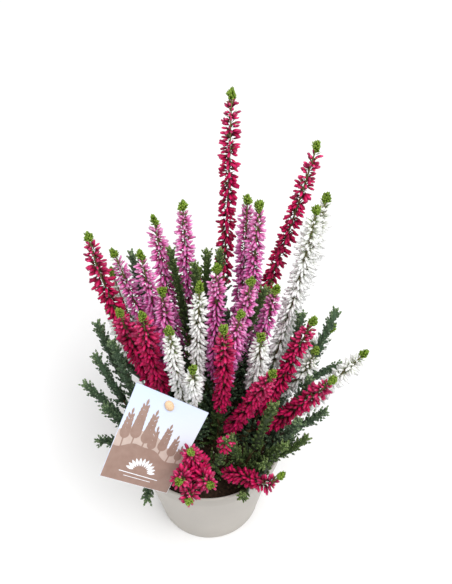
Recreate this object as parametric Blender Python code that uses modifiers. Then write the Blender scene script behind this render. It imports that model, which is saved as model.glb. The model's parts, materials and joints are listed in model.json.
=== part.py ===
"""Potted heather: a plastic pot, its soil, woody branches, flower spikes, leafy shoots and a card on a stake.

Sizes are millimetres in the tables below and become metres where a mesh is made.
The origin is the middle of the pot's flat underside, and the viewer stands on the -Y side.
"""
import math
import random

import bpy
import numpy as np
from mathutils import Euler, Vector

MM = 0.001
OBJECT_NAME = "potted_heather"

# pot
POT_HEIGHT = 95.0
POT_FOOT_RADIUS = 37.0
POT_TOP_RADIUS = 49.5
RIM_RADIUS = 52.5
RIM_HEIGHT = 11.0
POT_WALL = 1.3
POT_FLOOR = 2.0
POT_SEGMENTS = 28
DRAIN_COUNT = 6
DRAIN_RADIUS = 4.0
DRAIN_RING = 26.0
DRAIN_SIDES = 10

# soil
SOIL_TOP = 86.0
SOIL_SEGMENTS = 22
SOIL_RINGS = 3
SOIL_RELIEF = 1.1
ROOT_DEPTH = 18.0
FIT_GAP = 0.35
HOLE_MARGIN = 0.65
HOLE_SIDES = 8

# stems and twigs
ROOT_RADIUS = 2.1
ROOT_SIDES = 6
ROOT_COLLAR = 2.0
FORK_PAST = 1.5
TWIG_CORE = 1.15
TWIG_LEAF = 3.0
TWIG_STEP = 10.0
TWIG_LEAVES = 2
TWIG_LIFT = 1.0
BARE_REACH = 1.6
JOIN_GAP = 0.6
FORK_SHARE = 0.16
FORK_RISE = 0.13
FORK_LEAST = 10.0
FORK_SPREAD = 18.0

# flower spikes: how far the florets reach, how many stand in a ring and how far apart the rings are
FLORET_REACH = {"crimson": 7.0, "pink": 5.8, "white": 6.2}
FLORET_RING = 4
FLORET_STEP = 6.8
FLORET_DROOP = 1.8
SPIKE_CORE = 0.52
FLORET_VARY = (0.88, 1.0)
TOP_FLORET = 0.72
TUFT_LENGTH = 9.0
TUFT_REACH = 3.3
TUFT_CORE = 1.7
TUFT_LIFT = 0.6
TUFT_RINGS = {0.45: (1.0, 1.0), 0.86: (0.75, 0.5)}

# leafy shoots with no flowers
SHOOT_REACH = 3.9
SHOOT_CORE = 1.7
SHOOT_STEP = 6.6
SHOOT_LEAVES = 2
SHOOT_LIFT = 1.3
SHOOT_END = 1.5
SHOOT_TAPER = (0.45, 14.0)

# how the sprays are bent clear of each other and of what stands still
LINE_POINTS = 40
CLEARANCE = 1.1
ROUNDS = 300
PAIR_ROUNDS = 20
PAIR_RESERVE = 5.0
STIFF_LENGTH = 4.0
PUSH = 0.7
SMOOTHING = 0.3
HOME_PULL = 0.01
HOME_ROUNDS = 180
TIP_REACH = 3.4
CARD_REACH = 1.6
RIM_REACH = 3.6
RIM_DROP = 1.5
ROD_MARGIN = 0.3

# card on its stake
CARD_WIDTH = 46.0
CARD_HEIGHT = 58.0
CARD_THICKNESS = 0.8
CARD_TWIST = 4.5
CARD_CELLS = 6
CARD_CENTRE = (-31.0, -51.0, 85.0)
CARD_ANGLES = (45.0, 28.0, -6.5)
CARD_HOLE_UP = 24.0
CARD_HOLE_RADIUS = 2.1
PEG_RADIUS = 1.5
PEG_HEAD = (2.7, 3.4)
PEG_HEAD_LENGTH = 3.0
HEAD_SHAPE = [(0.0, None), (0.02, 0.9), (0.45, 1.0), (0.85, 0.55)]
STAKE_FOOT = (-17.0, -25.0)
STAKE_BACK = 9.0
STAKE_BEND = 2.2
STAKE_SIDES = 8

COLOURS = {
    "pot": (0.46, 0.44, 0.41),
    "soil": (0.045, 0.028, 0.018),
    "card": (0.62, 0.55, 0.52),
    "peg": (0.55, 0.36, 0.22),
    "stem": (0.070, 0.095, 0.040),
    "crimson": (0.42, 0.012, 0.070),
    "pink": (0.66, 0.20, 0.50),
    "white": (0.80, 0.82, 0.74),
    "green": (0.065, 0.125, 0.060),
}
ROUGHNESS = {"pot": 0.5, "soil": 0.95, "card": 0.45, "peg": 0.6, "stem": 0.8}
LEAF_ROUGHNESS = 0.6

# Each branch: where its root stands in the soil, then its sprays.
# A spray: tip (x right, y back, z above the soil), flowering length, outward bow.
# A length below zero is a leafy shoot with no flowers on a flowering branch.
BRANCHES = {
    "crimson_back": ((6, 20), [
        ((16, 101, 228), 125, .05), ((68, 90, 197), 112, .10), ((-8, 106, 60), 52, .10)]),
    "crimson_left": ((-18, 8), [
        ((-75, 67, 141), 105, .14), ((-55, 26, 115), 62, .10), ((-37, 3, 142), 78, .06)]),
    "crimson_middle": ((4, -6), [((11, -9, 145), 78, .04), ((41, -27, 125), 84, .05)]),
    "crimson_right": ((20, -4), [((68, 19, 116), 78, .08), ((80, -14, 98), 78, .08)]),
    "crimson_front": ((1, -27), [
        ((49, -55, 52), 50, .12), ((-8, -52, 64), 0, .10),
        ((-24, -46, 34), -36, .08), ((13, -45, 76), -44, .08)]),
    "pink_left": ((-14, 20), [
        ((-61, 65, 127), 86, .08), ((-41, 51, 142), 90, .06), ((-27, 30, 131), 72, .05)]),
    "pink_back": ((-8, 30), [
        ((-33, 72, 151), 98, .06), ((-14, 72, 164), 108, .06), ((-50, 92, 62), 52, .10)]),
    "pink_middle": ((2, 4), [((7, 35, 148), 82, .04), ((28, 22, 151), 74, .03), ((22, 10, 135), 70, .02)]),
    "pink_right": ((16, 28), [
        ((26, 72, 169), 110, .05), ((33, 60, 177), 112, .04),
        ((44, 34, 128), 66, .05), ((46, 96, 60), 52, .10)]),
    "white_left": ((-9, -7), [
        ((-3, 17, 153), 80, .03), ((-21, -7, 141), 74, .03), ((-7, -22, 122), 34, .03)]),
    "white_right": ((26, 8), [
        ((34, 2, 122), 60, .02), ((75, 74, 169), 118, .12),
        ((67, 56, 177), 116, .10), ((88, 56, 58), 50, .10)]),
    "white_side": ((38, 9), [((68, 15, 90), 56, .06), ((103, 12, 89), 80, .08)]),
    "white_rear": ((-28, 18), [((-70, 72, 57), 46, .12), ((-66, 82, 88), 56, .10)]),
    "green_left": ((-32, -6), [
        ((-72, 37, 86), 46, .10), ((-59, 17, 95), 60, .10), ((-74, 23, 69), 40, .10),
        ((-82, 11, 53), 40, .10), ((-67, -7, 52), 52, .14), ((-72, -22, 34), 40, .10),
        ((-50, -38, 44), 44, .08), ((-38, -62, 26), 40, .10)]),
    "green_right": ((36, -11), [
        ((85, 44, 91), 56, .10), ((67, 3, 72), 46, .10), ((61, 29, 106), 50, .10),
        ((58, -31, 75), 48, .10), ((56, -24, 36), 36, .10), ((80, -2, 40), 40, .10)]),
    "green_front": ((22, -27), [
        ((40, -29, 98), 60, .05), ((50, -40, 62), 46, .10), ((40, -51, 46), 38, .10),
        ((66, -24, 44), 46, .10), ((14, -40, 67), 44, .05), ((24, -60, 32), 34, .12)]),
    "green_back": ((2, 39), [
        ((-25, 80, 42), 44, .10), ((2, 88, 36), 44, .10), ((28, 82, 40), 44, .10),
        ((-12, 62, 66), 46, .06), ((14, 66, 60), 46, .06)]),
    "green_centre": ((-2, 14), [
        ((-23, 59, 135), 66, .04), ((-7, 45, 137), 66, .03), ((1, 58, 134), 66, .03),
        ((9, 55, 138), 66, .03), ((38, 30, 131), 66, .03)]),
    "green_rear_left": ((-26, 30), [
        ((-49, 70, 118), 76, .06), ((-72, 48, 46), 44, .10),
        ((-56, 76, 44), 44, .10), ((-46, 46, 62), 44, .06)]),
    "green_rear_right": ((29, 23), [
        ((76, 52, 42), 44, .10), ((62, 80, 58), 44, .10), ((92, 32, 44), 44, .10), ((54, 46, 64), 46, .06)]),
}

# the short crimson spikes that share one base, at the tip of the spray with no flowering length of its own
CLUSTER_TIPS = [(-8, -64, 96), (-15, -81, 91), (4, -82, 88), (-9, -88, 78)]
CLUSTER_BOW = 0.04
CLUSTER_GAP = 3.6
CLUSTER_HUB = 2.6
CLUSTER_STAGGER = 0.3
CLUSTER_HEART = {-1.0: 1.8, 4.0: 4.2, 12.0: 6.2, 19.0: 4.4}


class Line:
    """The middle line of a spray, from its fork to its tip, in millimetres above the soil."""

    def __init__(self, branch, node, start, tip, bloom, bow):
        self.branch = branch
        self.node = node
        self.colour = "green" if bloom < 0 else branch.split("_")[0]
        self.start = np.array(start, float)
        self.tip = np.array(tip, float)
        self.bow = bow
        length = np.linalg.norm(self.tip - self.start)
        self.tuft = 0.0 if self.colour == "green" or bloom == 0 else TUFT_LENGTH
        self.bloom = min(abs(bloom), length - self.tuft - FORK_SPREAD)
        self.points = self.bowed()

    def bowed(self):
        chord = self.tip - self.start
        length = np.linalg.norm(chord)
        outward = np.array([chord[0], chord[1], 0.0])
        outward /= max(np.linalg.norm(outward), 1e-6)
        middle = self.start + 0.5 * chord + self.bow * length * (outward - np.array([0, 0, 0.5]))
        t = np.linspace(0, 1, LINE_POINTS)[:, None]
        return (1 - t) ** 2 * self.start + 2 * t * (1 - t) * middle + t ** 2 * self.tip

    def lengths(self):
        steps = np.linalg.norm(np.diff(self.points, axis=0), axis=1)
        return np.concatenate([[0.0], np.cumsum(steps)])

    def reach(self):
        """How far the spray reaches out from each of its points."""
        along = self.lengths()
        left = along[-1] - along
        radii = np.where(along < FORK_SPREAD, BARE_REACH, TWIG_LEAF)
        widest = FLORET_REACH.get(self.colour, SHOOT_REACH)
        radii[left <= self.bloom + self.tuft + 1.0] = widest
        radii[left < self.tuft - 1.0] = TIP_REACH
        return radii

    def at(self, distance):
        along = self.lengths()
        return np.array([np.interp(distance, along, self.points[:, axis]) for axis in range(3)])

    def length(self):
        return self.lengths()[-1]

    def bloom_start(self):
        return self.length() - self.tuft - self.bloom


def fork_of(branch):
    root, sprays = BRANCHES[branch]
    mean = np.mean([spray[0] for spray in sprays], axis=0)
    root = np.array([root[0], root[1], 0.0])
    rise = max(FORK_LEAST, FORK_RISE * mean[2])
    return root + (mean - root) * np.array([FORK_SHARE, FORK_SHARE, 0.0]) + np.array([0.0, 0.0, rise])


def make_lines():
    lines = []
    for branch, (root, sprays) in BRANCHES.items():
        fork = fork_of(branch)
        for number, (tip, bloom, bow) in enumerate(sprays, 1):
            lines.append(Line(branch, "%s_spike_%d" % (branch, number), fork, tip, bloom, bow))
    bearer = [line for line in lines if line.bloom == 0][0]
    for tip in CLUSTER_TIPS:
        line = Line(bearer.branch, bearer.node, bearer.tip, tip, 0, CLUSTER_BOW)
        line.tuft = TUFT_LENGTH
        line.bloom = line.length() - line.tuft
        lines.append(line)
    return lines


def card_frame():
    """The card's middle above the soil, and its matrix."""
    turn = Euler([math.radians(angle) for angle in CARD_ANGLES], "XYZ").to_matrix()
    return Vector(CARD_CENTRE), turn


def card_point(x, y, depth=0.0):
    """A point of the twisted card in millimetres above the soil."""
    centre, turn = card_frame()
    twist = CARD_TWIST * 4 * x * y / (CARD_WIDTH * CARD_HEIGHT)
    return centre + turn @ Vector((x, y, twist + depth))


def peg_axis():
    """The middle of the card's hole and the direction out of its printed face."""
    across = card_point(1.0, CARD_HOLE_UP) - card_point(-1.0, CARD_HOLE_UP)
    upward = card_point(0.0, CARD_HOLE_UP + 1.0) - card_point(0.0, CARD_HOLE_UP - 1.0)
    return card_point(0.0, CARD_HOLE_UP), across.cross(upward).normalized()


def stake_route():
    """The stake's middle line above the soil, with its two radii at each point."""
    hole, out = peg_axis()
    foot = Vector((STAKE_FOOT[0], STAKE_FOOT[1], 0.0))
    elbow = hole - out * STAKE_BACK
    rise = elbow - foot
    route = [foot + Vector((0, 0, FIT_GAP - ROOT_DEPTH)), foot, foot + rise * 0.5]
    route += [elbow - rise.normalized() * STAKE_BEND, elbow + out * STAKE_BEND]
    radii = [(PEG_RADIUS, PEG_RADIUS)] * len(route)
    front = CARD_THICKNESS / 2 + FIT_GAP
    for share, size in HEAD_SHAPE:
        route.append(hole + out * (front + share * PEG_HEAD_LENGTH))
        radii.append((PEG_HEAD[0] * size, PEG_HEAD[1] * size) if size else (PEG_RADIUS, PEG_RADIUS))
    return route, radii


def obstacles():
    """Points that no spray may come near: (point, reach, branch that owns it)."""
    found = []
    for across in np.linspace(-0.5, 0.5, 14):
        for up in np.linspace(-0.5, 0.5, 17):
            found.append((card_point(across * CARD_WIDTH, up * CARD_HEIGHT), CARD_REACH, ""))
    route, radii = stake_route()
    for first, second in zip(route[1:5], route[2:6]):
        for share in np.linspace(0, 1, 14):
            found.append((first.lerp(second, share), PEG_RADIUS + ROD_MARGIN, ""))
    found.append((route[-2], PEG_HEAD[1], ""))
    rim_up = POT_HEIGHT - SOIL_TOP - RIM_DROP
    middle = (RIM_RADIUS + POT_TOP_RADIUS) / 2
    for angle in np.linspace(0, 2 * math.pi, 110, endpoint=False):
        found.append(((middle * math.cos(angle), middle * math.sin(angle), rim_up), RIM_REACH, ""))
    for branch in BRANCHES:
        root = np.array([*BRANCHES[branch][0], 0.0])
        for share in np.linspace(0, 1, 7):
            found.append((root + (fork_of(branch) - root) * share, ROOT_RADIUS + ROD_MARGIN, branch))
    return found


class Cloud:
    """The points of all sprays, then those that stand still, with what decides which may touch."""

    def __init__(self, lines, fixed):
        names = list(BRANCHES)
        nodes = sorted({line.node for line in lines})
        self.moving = len(lines) * LINE_POINTS
        standing = [list(place) for place, reach, owner in fixed]
        self.points = np.concatenate([line.points for line in lines] + [standing])
        wide = [[reach for place, reach, owner in fixed]]
        self.reach = np.concatenate([line.reach() for line in lines] + wide)
        along = np.concatenate([line.lengths() for line in lines])
        self.node = self.spread([nodes.index(line.node) for line in lines], -1 - np.arange(len(fixed)))
        self.branch = self.spread([names.index(line.branch) for line in lines],
                                  [names.index(owner) if owner else -1 for place, reach, owner in fixed])
        forked = self.spread([np.allclose(line.start, fork_of(line.branch)) for line in lines],
                             [owner != "" for place, reach, owner in fixed])
        near_fork = np.concatenate([along < FORK_SPREAD, np.full(len(fixed), True)])
        self.near = forked & near_fork
        stiff = self.spread([line.bloom == 0 for line in lines], np.full(len(fixed), True))
        give = np.clip((along - STIFF_LENGTH) / (FORK_SPREAD - STIFF_LENGTH), 0, 1)
        self.give = np.where(stiff, 0.0, np.concatenate([give, np.zeros(len(fixed))]))

    def spread(self, of_lines, of_fixed):
        return np.concatenate([np.repeat(of_lines, LINE_POINTS), of_fixed])

    def close_pairs(self):
        """Pairs of points that could soon touch, leaving out those that belong together."""
        firsts = []
        seconds = []
        for start in range(0, self.moving, LINE_POINTS):
            rows = slice(start, start + LINE_POINTS)
            gap = np.linalg.norm(self.points[rows, None, :] - self.points[None, :, :], axis=2)
            close = gap < self.reach[rows, None] + self.reach[None, :] + PAIR_RESERVE
            apart = self.node[rows, None] != self.node[None, :]
            forked = self.near[rows, None] & self.near[None, :]
            forked = forked & (self.branch[rows, None] == self.branch[None, :])
            able = self.give[rows, None] + self.give[None, :] > 0
            first, second = np.nonzero(close & apart & able & ~forked)
            first = first + start
            firsts.append(first[first < second])
            seconds.append(second[first < second])
        return np.concatenate(firsts), np.concatenate(seconds)

    def push_apart(self, first, second):
        gap = self.points[first] - self.points[second]
        distance = np.maximum(np.linalg.norm(gap, axis=1), 1e-6)
        short = np.clip(self.reach[first] + self.reach[second] + CLEARANCE - distance, 0, None)
        push = gap * (short / distance / (self.give[first] + self.give[second]))[:, None]
        moves = np.zeros_like(self.points)
        hits = np.zeros(len(self.points))
        for ends, sign in ((first, 1), (second, -1)):
            np.add.at(moves, ends, sign * push)
            np.add.at(hits, ends, short > 0)
        self.points += PUSH * moves * (self.give / np.sqrt(np.maximum(hits, 1)))[:, None]

    def smooth(self):
        sprays = self.points[:self.moving].reshape(-1, LINE_POINTS, 3)
        bend = np.zeros_like(sprays)
        bend[:, 1:-1] = (sprays[:, :-2] + sprays[:, 2:]) / 2 - sprays[:, 1:-1]
        self.points[:self.moving] += SMOOTHING * bend.reshape(-1, 3) * self.give[:self.moving, None]


def bend_clear(lines):
    """Bend the sprays until each one clears the others, the card, the stake and the pot's rim."""
    cloud = Cloud(lines, obstacles())
    home = cloud.points.copy()
    for step in range(ROUNDS):
        if step % PAIR_ROUNDS == 0:
            first, second = cloud.close_pairs()
        cloud.push_apart(first, second)
        cloud.smooth()
        if step < HOME_ROUNDS:
            cloud.points += HOME_PULL * (home - cloud.points) * cloud.give[:, None]
    for position, line in enumerate(lines):
        line.points = cloud.points[position * LINE_POINTS:(position + 1) * LINE_POINTS]
    return lines


def material_for(name):
    material = bpy.data.materials.new(name)
    material.use_nodes = True
    shader = material.node_tree.nodes["Principled BSDF"]
    kind = kind_of(name)
    red, green, blue = COLOURS[kind]
    shader.inputs["Base Color"].default_value = (red, green, blue, 1.0)
    shader.inputs["Roughness"].default_value = ROUGHNESS.get(kind, LEAF_ROUGHNESS)
    shader.inputs["Metallic"].default_value = 0.0
    return material


def kind_of(name):
    if name in ("pot", "soil"):
        return name
    if name.startswith("tag"):
        return "card" if name == "tag_card" else "peg"
    return "stem" if name.endswith("_stem") else name.split("_")[0]


def collection_for(name):
    collection = bpy.data.collections.new(name)
    bpy.context.scene.collection.children.link(collection)
    return collection


def mesh_object(name, collection, vertices, faces, edges=()):
    """An object from points in millimetres above the soil."""
    mesh = bpy.data.meshes.new(name)
    lifted = [(x * MM, y * MM, (z + SOIL_TOP) * MM) for x, y, z in vertices]
    mesh.from_pydata(lifted, list(edges), faces)
    mesh.validate()
    built = bpy.data.objects.new(name, mesh)
    collection.objects.link(built)
    if collection.name == OBJECT_NAME:
        mesh.materials.append(material_for(name))
    return built


def frames_along(centres):
    """Two directions across the line at each of its centres, carried along without twist."""
    tangents = [(second - first).normalized() for first, second in zip(centres, centres[1:])]
    between = [(a + b).normalized() for a, b in zip(tangents, tangents[1:])]
    tangents = [tangents[0]] + between + [tangents[-1]]
    across = tangents[0].orthogonal().normalized()
    frames = []
    for tangent in tangents:
        across = (across - tangent * across.dot(tangent)).normalized()
        frames.append((tangent, across, tangent.cross(across)))
    return frames


def fan_closed(vertices, faces, rings):
    """Close the first and the last ring with a point in the middle of each."""
    count = len(rings[0])
    for ring, flipped in ((rings[0], True), (rings[-1], False)):
        middle = sum((Vector(vertices[index]) for index in ring), Vector()) / count
        vertices.append(middle)
        top = len(vertices) - 1
        for index in range(count):
            pair = (ring[index], ring[(index + 1) % count])
            faces.append((pair[1], pair[0], top) if flipped else (pair[0], pair[1], top))


def leafy_loft(centres, cores, reaches, lifts, leaves):
    """A stem whose rings hold tips and hollows in turn, each ring half a step round from the last."""
    count = 2 * leaves
    vertices = []
    faces = []
    rings = []
    for number, (centre, frame) in enumerate(zip(centres, frames_along(centres))):
        tangent, across, over = frame
        ring = []
        for side in range(count):
            angle = 2 * math.pi * side / count
            outward = across * math.cos(angle) + over * math.sin(angle)
            raised = (number + side) % 2 == 0
            reach = reaches[number] if raised else cores[number]
            lift = lifts[number] if raised else 0.0
            ring.append(len(vertices))
            vertices.append(centre + outward * reach + tangent * lift)
        rings.append(ring)
    for number, (ring, above) in enumerate(zip(rings, rings[1:])):
        for side in range(count):
            after = (side + 1) % count
            a, b, c, d = ring[side], ring[after], above[after], above[side]
            if (number + side) % 2 == 0:
                faces += [(a, b, d), (b, c, d)]
            else:
                faces += [(a, b, c), (a, c, d)]
    fan_closed(vertices, faces, rings)
    return vertices, faces


def tube(centres, radii, sides):
    """A plain closed tube, with one radius or two at each centre."""
    vertices = []
    faces = []
    rings = []
    for (tangent, across, over), centre, radius in zip(frames_along(centres), centres, radii):
        wide, tall = radius if isinstance(radius, tuple) else (radius, radius)
        ring = []
        for side in range(sides):
            angle = 2 * math.pi * side / sides
            ring.append(len(vertices))
            vertices.append(centre + across * wide * math.cos(angle) + over * tall * math.sin(angle))
        rings.append(ring)
    for ring, above in zip(rings, rings[1:]):
        for side in range(sides):
            after = (side + 1) % sides
            faces.append((ring[side], ring[after], above[after], above[side]))
    fan_closed(vertices, faces, rings)
    return vertices, faces


def spaced(start, end, step):
    """Distances from start to end, near the wanted step."""
    count = max(2, int(round((end - start) / step)) + 1)
    return list(np.linspace(start, end, count))


def spike_shape(line, start, base, chance):
    """A flower spike with its leafy tip, from its start along the line and its radius there."""
    body_end = line.length() - line.tuft
    reach = FLORET_REACH[line.colour]
    places = spaced(start, body_end, FLORET_STEP)
    cores = [reach * SPIKE_CORE] * len(places)
    reaches = [reach * chance.uniform(*FLORET_VARY) for place in places]
    lifts = [-FLORET_DROOP] * len(places)
    cores[0] = base
    reaches[0] = base
    lifts[0] = 0.0
    cores[-1] = TUFT_CORE
    reaches[-1] = reach * TOP_FLORET
    for share, (widest, core) in TUFT_RINGS.items():
        places.append(body_end + line.tuft * share)
        cores.append(TUFT_CORE * core)
        reaches.append(TUFT_REACH * widest)
        lifts.append(TUFT_LIFT)
    centres = [Vector(line.at(place)) for place in places]
    return leafy_loft(centres, cores, reaches, lifts, FLORET_RING)


def cluster_heart(spikes):
    """The solid heart where the spikes of the cluster meet."""
    base = Vector(spikes[0].points[0])
    middle = sum((Vector(line.tip) for line in spikes), Vector()) / len(spikes)
    out = (middle - base).normalized()
    centres = [base + out * share for share in CLUSTER_HEART]
    return tube(centres, list(CLUSTER_HEART.values()), 8)


def shoot_shape(line, chance):
    """A leafy shoot from its fork to its tip, bare and thin at first."""
    end = line.length()
    bare_end = line.bloom_start()
    places = spaced(0.0, bare_end, TWIG_STEP)[:-1]
    cores = [TWIG_CORE] * len(places)
    reaches = [BARE_REACH] * len(places)
    for place in spaced(bare_end, end - SHOOT_END, SHOOT_STEP):
        taper = min(1.0, SHOOT_TAPER[0] + (end - place) / SHOOT_TAPER[1])
        places.append(place)
        cores.append(SHOOT_CORE * taper)
        reaches.append(SHOOT_REACH * taper * chance.uniform(*FLORET_VARY))
    lifts = [0.0] + [SHOOT_LIFT] * (len(places) - 1)
    centres = [Vector(line.at(place)) for place in places]
    return leafy_loft(centres, cores, reaches, lifts, SHOOT_LEAVES)


def twig_shape(line, chance):
    """A woody twig with small leaves, from its fork to just under its spike."""
    gap = JOIN_GAP if line.bloom else CLUSTER_GAP
    places = spaced(0.0, line.bloom_start() - gap, TWIG_STEP)
    cores = [TWIG_CORE] * len(places)
    reaches = [BARE_REACH] * len(places)
    for number, place in enumerate(places):
        if place > FORK_SPREAD:
            reaches[number] = TWIG_LEAF * chance.uniform(*FLORET_VARY)
    reaches[-1] = TWIG_CORE
    lifts = [0.0] + [TWIG_LIFT] * (len(places) - 2) + [0.0]
    centres = [Vector(line.at(place)) for place in places]
    return leafy_loft(centres, cores, reaches, lifts, TWIG_LEAVES)


def root_shape(branch):
    """The root end of a branch: straight up out of its hole, then over to the fork."""
    root = Vector((*BRANCHES[branch][0], 0.0))
    fork = Vector(fork_of(branch))
    past = (fork - root).normalized()
    bottom = root + Vector((0, 0, FIT_GAP - ROOT_DEPTH))
    centres = [bottom, root + Vector((0, 0, ROOT_COLLAR)), fork + past * FORK_PAST]
    return tube(centres, [ROOT_RADIUS, ROOT_RADIUS, ROOT_RADIUS * 0.9], ROOT_SIDES)


def boolean(target, operation, cutters):
    """Join a collection's objects to the target or cut them from it, and apply it."""
    modifier = target.modifiers.new(operation.lower(), "BOOLEAN")
    modifier.operation = operation
    modifier.operand_type = "COLLECTION"
    modifier.collection = cutters
    modifier.solver = "EXACT"
    graph = bpy.context.evaluated_depsgraph_get()
    old = target.data
    result = bpy.data.meshes.new_from_object(target.evaluated_get(graph))
    target.modifiers.clear()
    target.data = result
    bpy.data.meshes.remove(old)
    result.name = target.name
    for cutter in list(cutters.objects):
        bpy.data.objects.remove(cutter, do_unlink=True)


def helper(name, collection, shape):
    built = mesh_object(name, collection, shape[0], shape[1])
    built.hide_render = True
    built.display_type = "WIRE"
    return built


def joined(name, parts, helpers, shapes):
    """One object from overlapping closed shapes."""
    base = mesh_object(name, parts, shapes[0][0], shapes[0][1])
    if len(shapes) > 1:
        for number, shape in enumerate(shapes[1:]):
            helper("%s_part_%d" % (name, number), helpers, shape)
        boolean(base, "UNION", helpers)
    return base


def make_pot(parts, helpers):
    """A lathed pot with a rim band and a ring of drain holes."""
    inner = POT_TOP_RADIUS - POT_WALL
    profile = [
        (0.0, POT_FLOOR),
        (POT_FOOT_RADIUS - POT_WALL, POT_FLOOR),
        (inner, POT_HEIGHT - RIM_HEIGHT),
        (RIM_RADIUS - POT_WALL * 1.4, POT_HEIGHT - 1.0),
        (RIM_RADIUS - POT_WALL, POT_HEIGHT),
        (RIM_RADIUS - 0.6, POT_HEIGHT),
        (RIM_RADIUS, POT_HEIGHT - 0.8),
        (RIM_RADIUS - 0.6, POT_HEIGHT - RIM_HEIGHT),
        (POT_TOP_RADIUS, POT_HEIGHT - RIM_HEIGHT - 0.4),
        (POT_FOOT_RADIUS, 0.8),
        (POT_FOOT_RADIUS - 0.8, 0.0),
        (0.0, 0.0),
    ]
    vertices = [(radius, 0.0, height - SOIL_TOP) for radius, height in profile]
    edges = [(index, index + 1) for index in range(len(profile) - 1)]
    pot = mesh_object("pot", parts, vertices, [], edges)
    screw = pot.modifiers.new("lathe", "SCREW")
    screw.steps = POT_SEGMENTS
    screw.render_steps = POT_SEGMENTS
    screw.use_merge_vertices = True
    screw.merge_threshold = 0.00005
    screw.use_smooth_shade = False
    for number in range(DRAIN_COUNT):
        angle = 2 * math.pi * number / DRAIN_COUNT
        ring = Vector((math.cos(angle), math.sin(angle), 0.0)) * DRAIN_RING
        middle = ring + Vector((0.0, 0.0, POT_FLOOR / 2 - SOIL_TOP))
        half = Vector((0.0, 0.0, 2 * POT_FLOOR))
        hole = tube([middle - half, middle + half], [DRAIN_RADIUS] * 2, DRAIN_SIDES)
        helper("drain_%d" % number, helpers, hole)
    boolean(pot, "DIFFERENCE", helpers)
    return pot


def soil_height(x, y):
    """The crumbly top of the soil, in millimetres about its mean height."""
    waves = math.sin(0.21 * x + 1.3) * math.cos(0.17 * y)
    waves += math.sin(0.39 * x - 0.31 * y) + math.cos(0.44 * y + 0.12 * x)
    return SOIL_RELIEF * waves / 2


def make_soil(parts, helpers):
    """A plug of soil that fills the pot, with a plain hole for each root and the stake."""
    slope = (POT_TOP_RADIUS - POT_FOOT_RADIUS) / (POT_HEIGHT - RIM_HEIGHT)
    bottom = POT_FLOOR + FIT_GAP - SOIL_TOP
    neck = POT_HEIGHT - RIM_HEIGHT - SOIL_TOP
    bottom_radius = POT_FOOT_RADIUS - POT_WALL - 2 * FIT_GAP
    neck_radius = bottom_radius + slope * (neck - bottom) - FIT_GAP
    rings = [(neck_radius * share, None) for share in np.linspace(0.2, 1.0, SOIL_RINGS)]
    rings += [(neck_radius, neck - SOIL_RELIEF), (bottom_radius, bottom)]
    vertices = []
    for radius, height in rings:
        for side in range(SOIL_SEGMENTS):
            angle = 2 * math.pi * side / SOIL_SEGMENTS
            x = radius * math.cos(angle)
            y = radius * math.sin(angle)
            vertices.append((x, y, soil_height(x, y) if height is None else height))
    top = len(vertices)
    base = top + 1
    vertices += [(0.0, 0.0, soil_height(0.0, 0.0)), (0.0, 0.0, bottom)]
    last = (len(rings) - 1) * SOIL_SEGMENTS
    faces = []
    for side in range(SOIL_SEGMENTS):
        after = (side + 1) % SOIL_SEGMENTS
        faces += [(side, after, top), (last + after, last + side, base)]
        for start in range(0, last, SOIL_SEGMENTS):
            below = start + SOIL_SEGMENTS
            faces.append((start + side, below + side, below + after))
            faces.append((start + side, below + after, start + after))
    soil = mesh_object("soil", parts, vertices, faces)
    holes = [(BRANCHES[branch][0], ROOT_RADIUS) for branch in BRANCHES] + [(STAKE_FOOT, PEG_RADIUS)]
    for number, (place, radius) in enumerate(holes):
        foot = Vector((place[0], place[1], -ROOT_DEPTH))
        shape = tube([foot, foot + Vector((0, 0, 2 * ROOT_DEPTH))], [radius + HOLE_MARGIN] * 2, HOLE_SIDES)
        helper("hole_%d" % number, helpers, shape)
    boolean(soil, "DIFFERENCE", helpers)
    return soil


def make_card(parts, helpers):
    """A thin card with a slight twist and a round hole for the peg."""
    vertices = []
    faces = []
    count = CARD_CELLS + 1
    for depth in (CARD_THICKNESS / 2, -CARD_THICKNESS / 2):
        for row in range(count):
            for column in range(count):
                x = (column / CARD_CELLS - 0.5) * CARD_WIDTH
                y = (row / CARD_CELLS - 0.5) * CARD_HEIGHT
                vertices.append(card_point(x, y, depth))
    back = count * count
    for row in range(CARD_CELLS):
        for column in range(CARD_CELLS):
            a = row * count + column
            b, c, d = a + 1, a + count + 1, a + count
            faces += [(a, b, c), (a, c, d), (back + c, back + b, back + a), (back + d, back + c, back + a)]
    border = list(range(count))
    border += [row * count + CARD_CELLS for row in range(1, count)]
    border += [CARD_CELLS * count + column for column in range(CARD_CELLS - 1, -1, -1)]
    border += [row * count for row in range(CARD_CELLS - 1, 0, -1)]
    for first, second in zip(border, border[1:] + border[:1]):
        faces += [(back + first, back + second, second), (back + first, second, first)]
    card = mesh_object("tag_card", parts, vertices, faces)
    hole, out = peg_axis()
    ends = [hole - out * CARD_HOLE_RADIUS, hole + out * CARD_HOLE_RADIUS]
    helper("card_hole", helpers, tube(ends, [CARD_HOLE_RADIUS] * 2, 12))
    boolean(card, "DIFFERENCE", helpers)
    return card


def make_stake(parts):
    route, radii = stake_route()
    vertices, faces = tube(route, radii, STAKE_SIDES)
    return mesh_object("tag_stake", parts, vertices, faces)


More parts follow.
